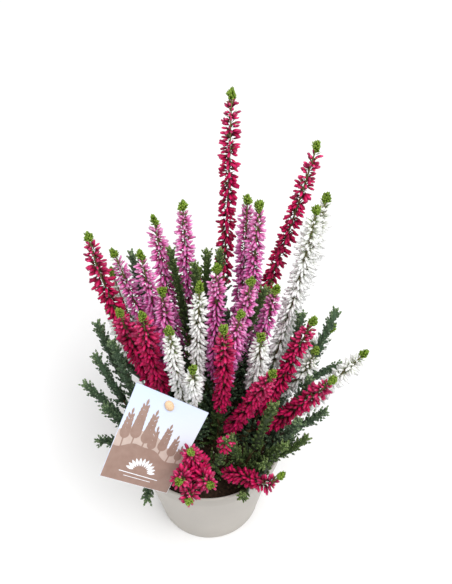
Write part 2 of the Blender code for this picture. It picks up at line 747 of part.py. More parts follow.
def make_plants(parts, helpers):
    """Every branch with its twigs and spikes, or its leafy shoots."""
    lines = bend_clear(make_lines())
    for branch in BRANCHES:
        own = [line for line in lines if line.branch == branch]
        chance = random.Random(branch)
        forked = [line for line in own if np.allclose(line.points[0], fork_of(branch))]
        shapes = [root_shape(branch)]
        for line in forked:
            shapes.append(shoot_shape(line, chance) if line.colour == "green" else twig_shape(line, chance))
        name = branch + ("_shoots" if branch.startswith("green") else "_stem")
        joined(name, parts, helpers, shapes)
        flowering = [line for line in own if line.colour != "green"]
        for node in sorted({line.node for line in flowering}):
            spikes = [line for line in own if line.node == node and line.bloom]
            if len(spikes) > 1:
                shapes = [cluster_heart(spikes)]
                for place, line in enumerate(spikes):
                    shapes.append(spike_shape(line, CLUSTER_STAGGER * place, CLUSTER_HUB, chance))
            else:
                shapes = [spike_shape(spikes[0], spikes[0].bloom_start(), TWIG_CORE, chance)]
            joined(node, parts, helpers, shapes)
    return lines


def main():
    for old in list(bpy.data.objects):
        bpy.data.objects.remove(old, do_unlink=True)
    parts = collection_for(OBJECT_NAME)
    helpers = collection_for("helpers")
    make_pot(parts, helpers)
    make_soil(parts, helpers)
    make_card(parts, helpers)
    make_stake(parts)
    make_plants(parts, helpers)


main()
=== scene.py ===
"""Potted heather for pictures: buds, leaves, bark, soil, pot and card, built on the model's own layout.

Sizes are millimetres above the middle of the soil unless a name says otherwise, and become metres
where a mesh is made. The origin is the middle of the pot's flat underside.
"""
import json
import math

import bpy
import numpy as np
from mathutils import Euler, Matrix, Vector

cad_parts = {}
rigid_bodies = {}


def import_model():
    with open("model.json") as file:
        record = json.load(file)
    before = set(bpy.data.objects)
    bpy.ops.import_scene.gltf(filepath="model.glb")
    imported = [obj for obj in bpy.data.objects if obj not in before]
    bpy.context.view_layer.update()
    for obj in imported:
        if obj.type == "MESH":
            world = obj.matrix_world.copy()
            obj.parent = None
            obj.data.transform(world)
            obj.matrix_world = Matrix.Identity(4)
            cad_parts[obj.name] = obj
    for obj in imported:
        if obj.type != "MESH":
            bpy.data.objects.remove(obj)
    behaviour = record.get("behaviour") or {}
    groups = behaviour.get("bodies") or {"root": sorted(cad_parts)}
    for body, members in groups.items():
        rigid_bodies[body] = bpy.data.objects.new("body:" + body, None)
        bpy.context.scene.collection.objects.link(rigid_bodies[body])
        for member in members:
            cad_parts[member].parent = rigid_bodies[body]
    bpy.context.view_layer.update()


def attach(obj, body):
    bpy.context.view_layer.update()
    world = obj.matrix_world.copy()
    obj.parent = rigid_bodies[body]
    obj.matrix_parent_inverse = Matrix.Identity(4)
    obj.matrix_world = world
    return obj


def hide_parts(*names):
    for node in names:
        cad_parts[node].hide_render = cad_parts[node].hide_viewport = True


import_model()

MM = 0.001

# pot and soil
POT_HEIGHT = 95.0
POT_FOOT_RADIUS = 37.0
POT_TOP_RADIUS = 49.5
RIM_RADIUS = 52.5
RIM_HEIGHT = 11.0
POT_WALL = 1.3
POT_FLOOR = 2.0
DRAIN_COUNT = 6
DRAIN_RADIUS = 4.0
DRAIN_RING = 26.0
SOIL_TOP = 86.0
SOIL_RELIEF = 1.1
ROOT_DEPTH = 18.0
FIT_GAP = 0.35

# the layout of the branches, as in the model
ROOT_RADIUS = 2.1
TWIG_LEAF = 3.0
BARE_REACH = 1.6
FORK_SHARE = 0.16
FORK_RISE = 0.13
FORK_LEAST = 10.0
FORK_SPREAD = 18.0
FLORET_REACH = {"crimson": 7.0, "pink": 5.8, "white": 6.2}
TUFT_LENGTH = 9.0
SHOOT_REACH = 3.9

# how the sprays are bent clear of each other and of what stands still
LINE_POINTS = 40
CLEARANCE = 1.1
ROUNDS = 300
PAIR_ROUNDS = 20
PAIR_RESERVE = 5.0
STIFF_LENGTH = 4.0
PUSH = 0.7
SMOOTHING = 0.3
HOME_PULL = 0.01
HOME_ROUNDS = 180
TIP_REACH = 3.4
CARD_REACH = 1.6
RIM_REACH = 3.6
RIM_DROP = 1.5
ROD_MARGIN = 0.3
CARD_STATIONS = (14, 17)
ROD_STATIONS = 14
RIM_STATIONS = 110
ROOT_STATIONS = 7

# card on its stake
CARD_WIDTH = 46.0
CARD_HEIGHT = 58.0
CARD_THICKNESS = 0.8
CARD_TWIST = 4.5
CARD_CENTRE = (-31.0, -51.0, 85.0)
CARD_ANGLES = (45.0, 28.0, -6.5)
CARD_HOLE_UP = 24.0
CARD_HOLE_RADIUS = 2.1
PEG_RADIUS = 1.5
PEG_HEAD = (2.7, 3.4)
PEG_HEAD_LENGTH = 3.0
HEAD_STATIONS = (0.0, 0.02, 0.45, 0.85)
STAKE_FOOT = (-17.0, -25.0)
STAKE_BACK = 9.0
STAKE_BEND = 2.2
HEAD_ROLL = (0.87, 0.39, 0.31)

# Each branch: where its root stands in the soil, then its sprays.
# A spray: tip (x right, y back, z above the soil), flowering length, outward bow.
# A length below zero is a leafy shoot with no flowers on a flowering branch.
BRANCHES = {
    "crimson_back": ((6, 20), [
        ((16, 101, 228), 125, .05), ((68, 90, 197), 112, .10), ((-8, 106, 60), 52, .10)]),
    "crimson_left": ((-18, 8), [
        ((-75, 67, 141), 105, .14), ((-55, 26, 115), 62, .10), ((-37, 3, 142), 78, .06)]),
    "crimson_middle": ((4, -6), [((11, -9, 145), 78, .04), ((41, -27, 125), 84, .05)]),
    "crimson_right": ((20, -4), [((68, 19, 116), 78, .08), ((80, -14, 98), 78, .08)]),
    "crimson_front": ((1, -27), [
        ((49, -55, 52), 50, .12), ((-8, -52, 64), 0, .10),
        ((-24, -46, 34), -36, .08), ((13, -45, 76), -44, .08)]),
    "pink_left": ((-14, 20), [
        ((-61, 65, 127), 86, .08), ((-41, 51, 142), 90, .06), ((-27, 30, 131), 72, .05)]),
    "pink_back": ((-8, 30), [
        ((-33, 72, 151), 98, .06), ((-14, 72, 164), 108, .06), ((-50, 92, 62), 52, .10)]),
    "pink_middle": ((2, 4), [((7, 35, 148), 82, .04), ((28, 22, 151), 74, .03), ((22, 10, 135), 70, .02)]),
    "pink_right": ((16, 28), [
        ((26, 72, 169), 110, .05), ((33, 60, 177), 112, .04),
        ((44, 34, 128), 66, .05), ((46, 96, 60), 52, .10)]),
    "white_left": ((-9, -7), [
        ((-3, 17, 153), 80, .03), ((-21, -7, 141), 74, .03), ((-7, -22, 122), 34, .03)]),
    "white_right": ((26, 8), [
        ((34, 2, 122), 60, .02), ((75, 74, 169), 118, .12),
        ((67, 56, 177), 116, .10), ((88, 56, 58), 50, .10)]),
    "white_side": ((38, 9), [((68, 15, 90), 56, .06), ((103, 12, 89), 80, .08)]),
    "white_rear": ((-28, 18), [((-70, 72, 57), 46, .12), ((-66, 82, 88), 56, .10)]),
    "green_left": ((-32, -6), [
        ((-72, 37, 86), 46, .10), ((-59, 17, 95), 60, .10), ((-74, 23, 69), 40, .10),
        ((-82, 11, 53), 40, .10), ((-67, -7, 52), 52, .14), ((-72, -22, 34), 40, .10),
        ((-50, -38, 44), 44, .08), ((-38, -62, 26), 40, .10)]),
    "green_right": ((36, -11), [
        ((85, 44, 91), 56, .10), ((67, 3, 72), 46, .10), ((61, 29, 106), 50, .10),
        ((58, -31, 75), 48, .10), ((56, -24, 36), 36, .10), ((80, -2, 40), 40, .10)]),
    "green_front": ((22, -27), [
        ((40, -29, 98), 60, .05), ((50, -40, 62), 46, .10), ((40, -51, 46), 38, .10),
        ((66, -24, 44), 46, .10), ((14, -40, 67), 44, .05), ((24, -60, 32), 34, .12)]),
    "green_back": ((2, 39), [
        ((-25, 80, 42), 44, .10), ((2, 88, 36), 44, .10), ((28, 82, 40), 44, .10),
        ((-12, 62, 66), 46, .06), ((14, 66, 60), 46, .06)]),
    "green_centre": ((-2, 14), [
        ((-23, 59, 135), 66, .04), ((-7, 45, 137), 66, .03), ((1, 58, 134), 66, .03),
        ((9, 55, 138), 66, .03), ((38, 30, 131), 66, .03)]),
    "green_rear_left": ((-26, 30), [
        ((-49, 70, 118), 76, .06), ((-72, 48, 46), 44, .10),
        ((-56, 76, 44), 44, .10), ((-46, 46, 62), 44, .06)]),
    "green_rear_right": ((29, 23), [
        ((76, 52, 42), 44, .10), ((62, 80, 58), 44, .10),
        ((92, 32, 44), 44, .10), ((54, 46, 64), 46, .06)]),
}

# the short crimson spikes that share one base, at the tip of the spray with no flowering length of its own
CLUSTER_TIPS = [(-8, -64, 96), (-15, -81, 91), (4, -82, 88), (-9, -88, 78)]
CLUSTER_BOW = 0.04


class Line:
    """The middle line of a spray, from its fork to its tip, in millimetres above the soil."""

    def __init__(self, branch, node, start, tip, bloom, bow):
        self.branch = branch
        self.node = node
        self.colour = "green" if bloom < 0 else branch.split("_")[0]
        self.start = np.array(start, float)
        self.tip = np.array(tip, float)
        self.bow = bow
        length = np.linalg.norm(self.tip - self.start)
        self.tuft = 0.0 if self.colour == "green" or bloom == 0 else TUFT_LENGTH
        self.bloom = min(abs(bloom), length - self.tuft - FORK_SPREAD)
        self.points = self.bowed()

    def bowed(self):
        chord = self.tip - self.start
        length = np.linalg.norm(chord)
        outward = np.array([chord[0], chord[1], 0.0])
        outward /= max(np.linalg.norm(outward), 1e-6)
        middle = self.start + 0.5 * chord + self.bow * length * (outward - np.array([0, 0, 0.5]))
        t = np.linspace(0, 1, LINE_POINTS)[:, None]
        return (1 - t) ** 2 * self.start + 2 * t * (1 - t) * middle + t ** 2 * self.tip

    def lengths(self):
        steps = np.linalg.norm(np.diff(self.points, axis=0), axis=1)
        return np.concatenate([[0.0], np.cumsum(steps)])

    def reach(self):
        """How far the spray reaches out from each of its points."""
        along = self.lengths()
        left = along[-1] - along
        radii = np.where(along < FORK_SPREAD, BARE_REACH, TWIG_LEAF)
        widest = FLORET_REACH.get(self.colour, SHOOT_REACH)
        radii[left <= self.bloom + self.tuft + 1.0] = widest
        radii[left < self.tuft - 1.0] = TIP_REACH
        return radii

    def length(self):
        return self.lengths()[-1]

    def bloom_start(self):
        return self.length() - self.tuft - self.bloom


def fork_of(branch):
    root, sprays = BRANCHES[branch]
    mean = np.mean([spray[0] for spray in sprays], axis=0)
    root = np.array([root[0], root[1], 0.0])
    rise = max(FORK_LEAST, FORK_RISE * mean[2])
    return root + (mean - root) * np.array([FORK_SHARE, FORK_SHARE, 0.0]) + np.array([0.0, 0.0, rise])


def make_lines():
    lines = []
    for branch, planted in BRANCHES.items():
        fork = fork_of(branch)
        for number, (tip, bloom, bow) in enumerate(planted[1], 1):
            lines.append(Line(branch, "%s_spike_%d" % (branch, number), fork, tip, bloom, bow))
    bearer = [line for line in lines if line.bloom == 0][0]
    for tip in CLUSTER_TIPS:
        line = Line(bearer.branch, bearer.node, bearer.tip, tip, 0, CLUSTER_BOW)
        line.tuft = TUFT_LENGTH
        line.bloom = line.length() - line.tuft
        lines.append(line)
    return lines


def card_frame():
    """The card's middle above the soil, and its matrix."""
    turn = Euler([math.radians(angle) for angle in CARD_ANGLES], "XYZ").to_matrix()
    return Vector(CARD_CENTRE), turn


def card_point(x, y, depth=0.0):
    """A point of the twisted card in millimetres above the soil."""
    centre, turn = card_frame()
    twist = CARD_TWIST * 4 * x * y / (CARD_WIDTH * CARD_HEIGHT)
    return centre + turn @ Vector((x, y, twist + depth))


def peg_axis():
    """The middle of the card's hole and the direction out of its printed face."""
    across = card_point(1.0, CARD_HOLE_UP) - card_point(-1.0, CARD_HOLE_UP)
    upward = card_point(0.0, CARD_HOLE_UP + 1.0) - card_point(0.0, CARD_HOLE_UP - 1.0)
    return card_point(0.0, CARD_HOLE_UP), across.cross(upward).normalized()


def stake_route():
    """The stake's middle line above the soil, on through its head."""
    hole, out = peg_axis()
    foot = Vector((STAKE_FOOT[0], STAKE_FOOT[1], 0.0))
    elbow = hole - out * STAKE_BACK
    rise = elbow - foot
    route = [foot + Vector((0, 0, FIT_GAP - ROOT_DEPTH)), foot, foot + rise * 0.5]
    route += [elbow - rise.normalized() * STAKE_BEND, elbow + out * STAKE_BEND]
    front = CARD_THICKNESS / 2 + FIT_GAP
    for share in HEAD_STATIONS:
        route.append(hole + out * (front + share * PEG_HEAD_LENGTH))
    return route


def obstacles():
    """Points that no spray may come near: (point, reach, branch that owns it)."""
    found = []
    for across in np.linspace(-0.5, 0.5, CARD_STATIONS[0]):
        for up in np.linspace(-0.5, 0.5, CARD_STATIONS[1]):
            found.append((card_point(across * CARD_WIDTH, up * CARD_HEIGHT), CARD_REACH, ""))
    route = stake_route()
    for first, second in zip(route[1:5], route[2:6]):
        for share in np.linspace(0, 1, ROD_STATIONS):
            found.append((first.lerp(second, share), PEG_RADIUS + ROD_MARGIN, ""))
    found.append((route[-2], PEG_HEAD[1], ""))
    rim_up = POT_HEIGHT - SOIL_TOP - RIM_DROP
    middle = (RIM_RADIUS + POT_TOP_RADIUS) / 2
    for angle in np.linspace(0, 2 * math.pi, RIM_STATIONS, endpoint=False):
        found.append(((middle * math.cos(angle), middle * math.sin(angle), rim_up), RIM_REACH, ""))
    for branch in BRANCHES:
        root = np.array([*BRANCHES[branch][0], 0.0])
        for share in np.linspace(0, 1, ROOT_STATIONS):
            found.append((root + (fork_of(branch) - root) * share, ROOT_RADIUS + ROD_MARGIN, branch))
    return found


class Cloud:
    """The points of all sprays, then those that stand still, with what decides which may touch."""

    def __init__(self, lines, fixed):
        names = list(BRANCHES)
        nodes = sorted({line.node for line in lines})
        self.moving = len(lines) * LINE_POINTS
        standing = [list(place) for place, reach, owner in fixed]
        self.points = np.concatenate([line.points for line in lines] + [standing])
        wide = [[reach for place, reach, owner in fixed]]
        self.reach = np.concatenate([line.reach() for line in lines] + wide)
        along = np.concatenate([line.lengths() for line in lines])
        self.node = self.spread([nodes.index(line.node) for line in lines], -1 - np.arange(len(fixed)))
        self.branch = self.spread([names.index(line.branch) for line in lines],
                                  [names.index(owner) if owner else -1 for place, reach, owner in fixed])
        forked = self.spread([np.allclose(line.start, fork_of(line.branch)) for line in lines],
                             [owner != "" for place, reach, owner in fixed])
        near_fork = np.concatenate([along < FORK_SPREAD, np.full(len(fixed), True)])
        self.near = forked & near_fork
        stiff = self.spread([line.bloom == 0 for line in lines], np.full(len(fixed), True))
        give = np.clip((along - STIFF_LENGTH) / (FORK_SPREAD - STIFF_LENGTH), 0, 1)
        self.give = np.where(stiff, 0.0, np.concatenate([give, np.zeros(len(fixed))]))

    def spread(self, of_lines, of_fixed):
        return np.concatenate([np.repeat(of_lines, LINE_POINTS), of_fixed])

    def close_pairs(self):
        """Pairs of points that could soon touch, leaving out those that belong together."""
        firsts = []
        seconds = []
        for start in range(0, self.moving, LINE_POINTS):
            rows = slice(start, start + LINE_POINTS)
            gap = np.linalg.norm(self.points[rows, None, :] - self.points[None, :, :], axis=2)
            close = gap < self.reach[rows, None] + self.reach[None, :] + PAIR_RESERVE
            apart = self.node[rows, None] != self.node[None, :]
            forked = self.near[rows, None] & self.near[None, :]
            forked = forked & (self.branch[rows, None] == self.branch[None, :])
            able = self.give[rows, None] + self.give[None, :] > 0
            first, second = np.nonzero(close & apart & able & ~forked)
            first = first + start
            firsts.append(first[first < second])
            seconds.append(second[first < second])
        return np.concatenate(firsts), np.concatenate(seconds)

    def push_apart(self, first, second):
        gap = self.points[first] - self.points[second]
        distance = np.maximum(np.linalg.norm(gap, axis=1), 1e-6)
        short = np.clip(self.reach[first] + self.reach[second] + CLEARANCE - distance, 0, None)
        push = gap * (short / distance / (self.give[first] + self.give[second]))[:, None]
        moves = np.zeros_like(self.points)
        hits = np.zeros(len(self.points))
        for ends, sign in ((first, 1), (second, -1)):
            np.add.at(moves, ends, sign * push)
            np.add.at(hits, ends, short > 0)
        self.points += PUSH * moves * (self.give / np.sqrt(np.maximum(hits, 1)))[:, None]

    def smooth(self):
        sprays = self.points[:self.moving].reshape(-1, LINE_POINTS, 3)
        bend = np.zeros_like(sprays)
        bend[:, 1:-1] = (sprays[:, :-2] + sprays[:, 2:]) / 2 - sprays[:, 1:-1]
        self.points[:self.moving] += SMOOTHING * bend.reshape(-1, 3) * self.give[:self.moving, None]


def bend_clear(lines):
    """Bend the sprays until each one clears the others, the card, the stake and the pot's rim."""
    cloud = Cloud(lines, obstacles())
    home = cloud.points.copy()
    for step in range(ROUNDS):
        if step % PAIR_ROUNDS == 0:
            first, second = cloud.close_pairs()
        cloud.push_apart(first, second)
        cloud.smooth()
        if step < HOME_ROUNDS:
            cloud.points += HOME_PULL * (home - cloud.points) * cloud.give[:, None]
    for position, line in enumerate(lines):
        line.points = cloud.points[position * LINE_POINTS:(position + 1) * LINE_POINTS]
    return lines


# flower buds: length with stalk, half width, buds in a millimetre of spike
BUDS = {
    "crimson": (5.9, 1.0, 3.2),
    "pink": (6.3, 0.94, 3.2),
    "white": (6.2, 0.96, 3.2),
}
# bare neck under the leafy tip, and the tip's share of its usual length, for lone and clustered spikes
LONE_TIP = (2.5, 1.0)
CLUSTERED_TIP = (-1.5, 0.5)
BUD_TILT = ([0.0, 0.55, 0.85, 1.0], [-30.0, -18.0, 8.0, 46.0])
BUD_SIZE = ([0.0, 0.1, 0.85, 1.0], [0.7, 1.0, 0.96, 0.7])
BUD_TILT_VARY = 15.0
BUD_NOD = 0.10
BUD_SEAT = (0.2, 1.3)
BUD_EARLY = 5.0
CLUMP_LENGTH = 7.0
CLUMP_VARY = 0.13
# branches whose buds are larger than usual
FULL = {
    "crimson_left": 1.27,
    "crimson_back": 1.08,
    "crimson_right": 1.14,
    "crimson_middle": 1.08,
    "crimson_front": 1.08,
    "pink_back": 1.08,
    "white_right": 1.18,
    "white_side": 1.12,
}
# spikes whose buds gather in one-sided clumps: how far the buds are drawn, the clumps' pitch, the buds left
LOOSE = {"crimson_back": (1.6, 10.5, 0.84)}
TIGHT = (0.0, CLUMP_LENGTH, 1.0)
GOLDEN_ANGLE = math.radians(137.508)
ANGLE_VARY = 0.3

# leaves: length, half width
SCALE_LEAF = (2.3, 0.66)
NUB_LEAF = (2.1, 0.80)
NUB_GAP = 0.80
NUB_SIZE = (3.2, 5.0)
NUB_CORE = 1.5
SHOOT_CORE = (2.5, 1.7)
# how far the heart of a shoot is darkened, as painted shade
CORE_SHADE = 0.4
SIDE_LEAF = (2.7, 0.84)
SIDE_START = 5.0
SIDE_GAP = 2.4
LOW_SIDE = (8.0, 13.0)
HIGH_SIDE = (5.0, 7.5)
# branches whose side shoots grow longer, like fronds
FRONDS = {"green_left": 1.2, "green_right": 1.1, "pink_middle": 1.4, "pink_right": 1.4, "pink_back": 1.4}
UNDER_LEAF = (2.9, 0.74)
UNDER_GAP = 0.9
UNDER_SIZE = (12.0, 20.0)
TUFT_LEAF = (4.1, 0.86)
CLUB_ROW = 1.7
CLUB_WIDTH = 1.2
CLUB_LEAN = ((0.0, 0.5, 1.0), (40.0, 26.0, 2.0))
BRACT = (4.4, 0.48)
BRACT_DENSE = 1.3
TWIG_LEAF_GAP = 2.4
LEAF_FLAT = 0.55
NUB_CURL = 0.22
NUB_LEAN = (52.0, 16.0)
NUB_RISE = 40.0

WOOD_SIDES = 8
WOOD_RING = 3.5
# radii of the woody parts, or of their two ends
TWIG_FOOT = 1.35
SHOOT_TOP = 0.5
SPIKE_AXIS = (0.8, 0.45)


def unit(rows):
    return rows / np.maximum(np.linalg.norm(rows, axis=-1, keepdims=True), 1e-9)


def seeded(name):
    return np.random.default_rng([ord(letter) for letter in name])


def circle(count):
    """Evenly spaced angles round a full turn."""
    return 2 * math.pi * np.arange(count) / count


def wound(count, chance):
    """Angles wound up a stem, each a golden angle past the one before, varied a little."""
    return np.arange(count) * GOLDEN_ANGLE + chance.normal(0, ANGLE_VARY, count)


def leaning(start, goal, angles):
    """Directions turned from the rows of one set towards another, by angles in radians."""
    return start * np.cos(angles)[:, None] + goal * np.sin(angles)[:, None]


def skin_faces(first, rings, sides, start, end):
    """Triangles that join rings of points into a skin, closed at each end by one point."""
    last = first + (rings - 1) * sides
    faces = []
    for side in range(sides):
        after = (side + 1) % sides
        faces += [(start, first + after, first + side), (last + side, last + after, end)]
        for row in range(first, last, sides):
            a, b = row + side, row + after
            faces += [(a, b, b + sides), (a, b + sides, a + sides)]
    return faces


def drum_faces(rings, sides):
    """Four-sided faces that join rings of points, closed by the two points after the rings."""
    start = rings * sides
    last = start - sides
    faces = []
    for side in range(sides):
        after = (side + 1) % sides
        faces += [(start, side, after), (start + 1, last + after, last + side)]
        for ring in range(0, last, sides):
            below = ring + sides
            faces.append((ring + side, below + side, below + after, ring + after))
    return faces


class Axis:
    """A curved middle line that gives places and directions at any distance along it."""

    def __init__(self, points):
        self.points = np.asarray(points, float)
        steps = np.linalg.norm(np.diff(self.points, axis=0), axis=1)
        self.along = np.concatenate([[0.0], np.cumsum(steps)])
        self.length = self.along[-1]
        self.tangents = unit(np.gradient(self.points, self.along, axis=0))
        across = np.cross(self.tangents[0], (0.31, 0.85, 0.42))
        rows = []
        for tangent in self.tangents:
            across = across - tangent * across.dot(tangent)
            across = across / np.linalg.norm(across)
            rows.append(across)
        self.across = np.array(rows)

    def pick(self, rows, distances):
        return np.stack([np.interp(distances, self.along, rows[:, axis]) for axis in range(3)], axis=1)

    def sample(self, distances):
        """Places, directions along the line, and two directions across it."""
        tangents = unit(self.pick(self.tangents, distances))
        across = self.pick(self.across, distances)
        across = unit(across - tangents * np.sum(across * tangents, axis=1, keepdims=True))
        return self.pick(self.points, distances), tangents, across, np.cross(tangents, across)

    def outward(self, distances, angles):
        """Places, directions along the line, and the direction out of it at each angle."""
        places, tangents, across, over = self.sample(distances)
        out = across * np.cos(angles)[:, None] + over * np.sin(angles)[:, None]
        return places, tangents, out


class Form:
    """A small closed shape along its own Z axis, from 0 to 1, with half width 1."""

    def __init__(self, heights, radii, sides, groove=1.0, dip=0.0, top=1.0, flat=1.0):
        points = [(0.0, 0.0, 0.0)]
        for ring, (height, radius) in enumerate(zip(heights, radii)):
            depth = 1.0 - (1.0 - groove) * (ring + 1) / len(heights)
            for side in range(sides):
                angle = 2 * math.pi * side / sides
                raised = side % 2 == 0
                reach = radius if raised else radius * depth
                last = ring == len(heights) - 1
                lift = height if raised or not last else height - dip
                points.append((reach * math.cos(angle), flat * reach * math.sin(angle), lift))
        points.append((0.0, 0.0, top))
        self.points = np.array(points)
        self.faces = np.array(skin_faces(1, len(heights), sides, 0, len(points) - 1))


BUD_FORM = Form((0.36, 0.66, 0.98), (0.76, 1.0, 0.46), 8, groove=0.45, dip=0.12, top=0.88)
LEAF_FORM = Form((0.40,), (1.0,), 4, flat=LEAF_FLAT)
TUFT_FORM = Form((0.25, 0.70), (0.80, 1.0), 4, flat=LEAF_FLAT)
CORE_FORM = Form((0.12, 0.82), (0.8, 0.9), 4)


class Growth:
    """Many small shapes gathered into one mesh, each point with a tint.

    The tint's red runs from a shape's base to its tip, green differs from shape to shape,
    and blue is how young and pale the shape is.
    """

    def __init__(self):
        self.points = []
        self.faces = []
        self.tints = []
        self.count = 0

    def add(self, points, faces, tints):
        self.points.append(points)
        self.faces.append(faces + self.count)
        self.tints.append(tints)
        self.count += len(points)

    def place(self, form, bases, aims, rolls, lengths, widths, chance, youth):
        """Copies of a form: where each starts, where it points, and which way its flat side faces."""
        aims = unit(aims)
        sides = unit(np.cross(rolls, aims))
        overs = np.cross(aims, sides)
        total = len(bases)
        lengths = np.broadcast_to(lengths, total)
        widths = np.broadcast_to(widths, total)
        x, y, z = form.points.T
        points = bases[:, None, :] + aims[:, None, :] * (lengths[:, None] * z)[..., None]
        points = points + sides[:, None, :] * (widths[:, None] * x)[..., None]
        points = points + overs[:, None, :] * (widths[:, None] * y)[..., None]
        offsets = np.arange(total) * len(form.points)
        faces = (form.faces[None] + offsets[:, None, None]).reshape(-1, 3)
        tints = np.ones((total, len(form.points), 4))
        tints[..., 0] = z
        tints[..., 1] = chance.random(total)[:, None]
        tints[..., 2] = np.broadcast_to(youth, total)[:, None]
        self.add(points.reshape(-1, 3), faces, tints.reshape(-1, 4))

    def shade(self):
        """Darken the shapes added last, as painted shade on the dark heart of a shoot."""
        self.tints[-1][:, 0] *= CORE_SHADE

    def tube(self, axis, start, end, radii, chance, sides=WOOD_SIDES, youth=0.0, rough=0.07,
             ring=WOOD_RING):
        """A closed woody tube along part of an axis, with a radius at its start and its end."""
        rings = max(3, int((end - start) / ring) + 1)
        distances = np.linspace(start, end, rings)
        places, tangents, across, over = axis.sample(distances)
        radius = np.linspace(radii[0], radii[1], rings)[:, None]
        radius = radius * chance.uniform(1 - rough, 1 + rough, (rings, sides))
        angles = circle(sides)[None, :, None]
        round_part = across[:, None, :] * np.cos(angles) + over[:, None, :] * np.sin(angles)
        skin = places[:, None, :] + round_part * radius[..., None]
        points = np.concatenate([skin.reshape(-1, 3), places[:1] - tangents[:1] * radii[0] * 0.3,
                                 places[-1:] + tangents[-1:] * radii[1]])
        faces = skin_faces(0, rings, sides, rings * sides, rings * sides + 1)
        tints = np.ones((len(points), 4))
        tints[:, 0] = np.concatenate([np.repeat(np.linspace(0, 1, rings), sides), [0.0, 1.0]])
        tints[:, 1] = chance.random()
        tints[:, 2] = youth
        self.add(points, np.array(faces), tints)

    def sprigs(self, bases, aims, lifts, lengths, leaf, stations, chance, youth):
        """Short side shoots that curl up: pairs of leaves, each pair across the one before."""
        aims = unit(aims)
        sides = unit(np.cross(aims, lifts))
        overs = np.cross(sides, aims)
        heart = aims + lifts * NUB_CURL * 0.6
        self.place(CORE_FORM, bases, heart, sides, lengths * 0.9, leaf[1] * NUB_CORE, chance, youth * 0.4)
        # painted shade on the heart of the side shoot
        self.shade()
        for number in range(stations):
            share = (number + 0.3) / stations
            curl = NUB_CURL * share ** 2
            places = bases + aims * (lengths * share)[:, None] + lifts * (lengths * curl)[:, None]
            direction = unit(aims + lifts * 2 * NUB_CURL * share)
            lean = math.radians(np.interp(share, (0, 1), NUB_LEAN))
            plane = sides if number % 2 else overs
            for sign in (1.0, -1.0):
                aim = direction * math.cos(lean) + plane * sign * math.sin(lean)
                aim = aim + chance.normal(0, 0.08, aim.shape)
                size = leaf[0] * chance.uniform(0.8, 1.1, len(bases)) * (1 - 0.25 * share)
                young = youth * (0.5 + 0.5 * share)
                self.place(LEAF_FORM, places, aim, direction, size, leaf[1], chance, young)
        tops = bases + aims * (lengths * 0.93)[:, None] + lifts * (lengths * NUB_CURL * 0.86)[:, None]
        self.place(LEAF_FORM, tops, direction, sides, leaf[0] * 0.8, leaf[1] * 0.8, chance, youth)

    def build(self, name, material, node, slot):
        """The finished piece, riding where the model's node is."""
        points = np.concatenate(self.points)
        points[:, 2] += SOIL_TOP
        faces = np.concatenate(self.faces)
        return make_piece(name, points, faces, material, node, np.concatenate(self.tints))


def show(name, data):
    """A new object in the scene that holds a mesh, a light or a camera."""
    made = bpy.data.objects.new(name, data)
    bpy.context.scene.collection.objects.link(made)
    return made


def make_piece(name, points, faces, material, node, tints=None, smooth=True):
    """A piece from points in millimetres above the floor, standing for a node of the model."""
    mesh = bpy.data.meshes.new(name)
    mesh.from_pydata(np.asarray(points, float) * MM, [], faces)
    if tints is not None:
        layer = mesh.color_attributes.new(name="tint", type="FLOAT_COLOR", domain="POINT")
        layer.data.foreach_set("color", np.asarray(tints, np.float32).ravel())
    mesh.polygons.foreach_set("use_smooth", np.full(len(mesh.polygons), smooth))
    mesh.materials.append(material)
    piece = show(name, mesh)
    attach(piece, "root")
    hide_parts(node)
    return piece


def linear(colour):
    """A screen colour, 0 to 255, as the linear colour that a shader takes."""
    shares = [part / 255 for part in colour]
    return [part / 12.92 if part <= 0.04045 else ((part + 0.055) / 1.055) ** 2.4 for part in shares] + [1.0]


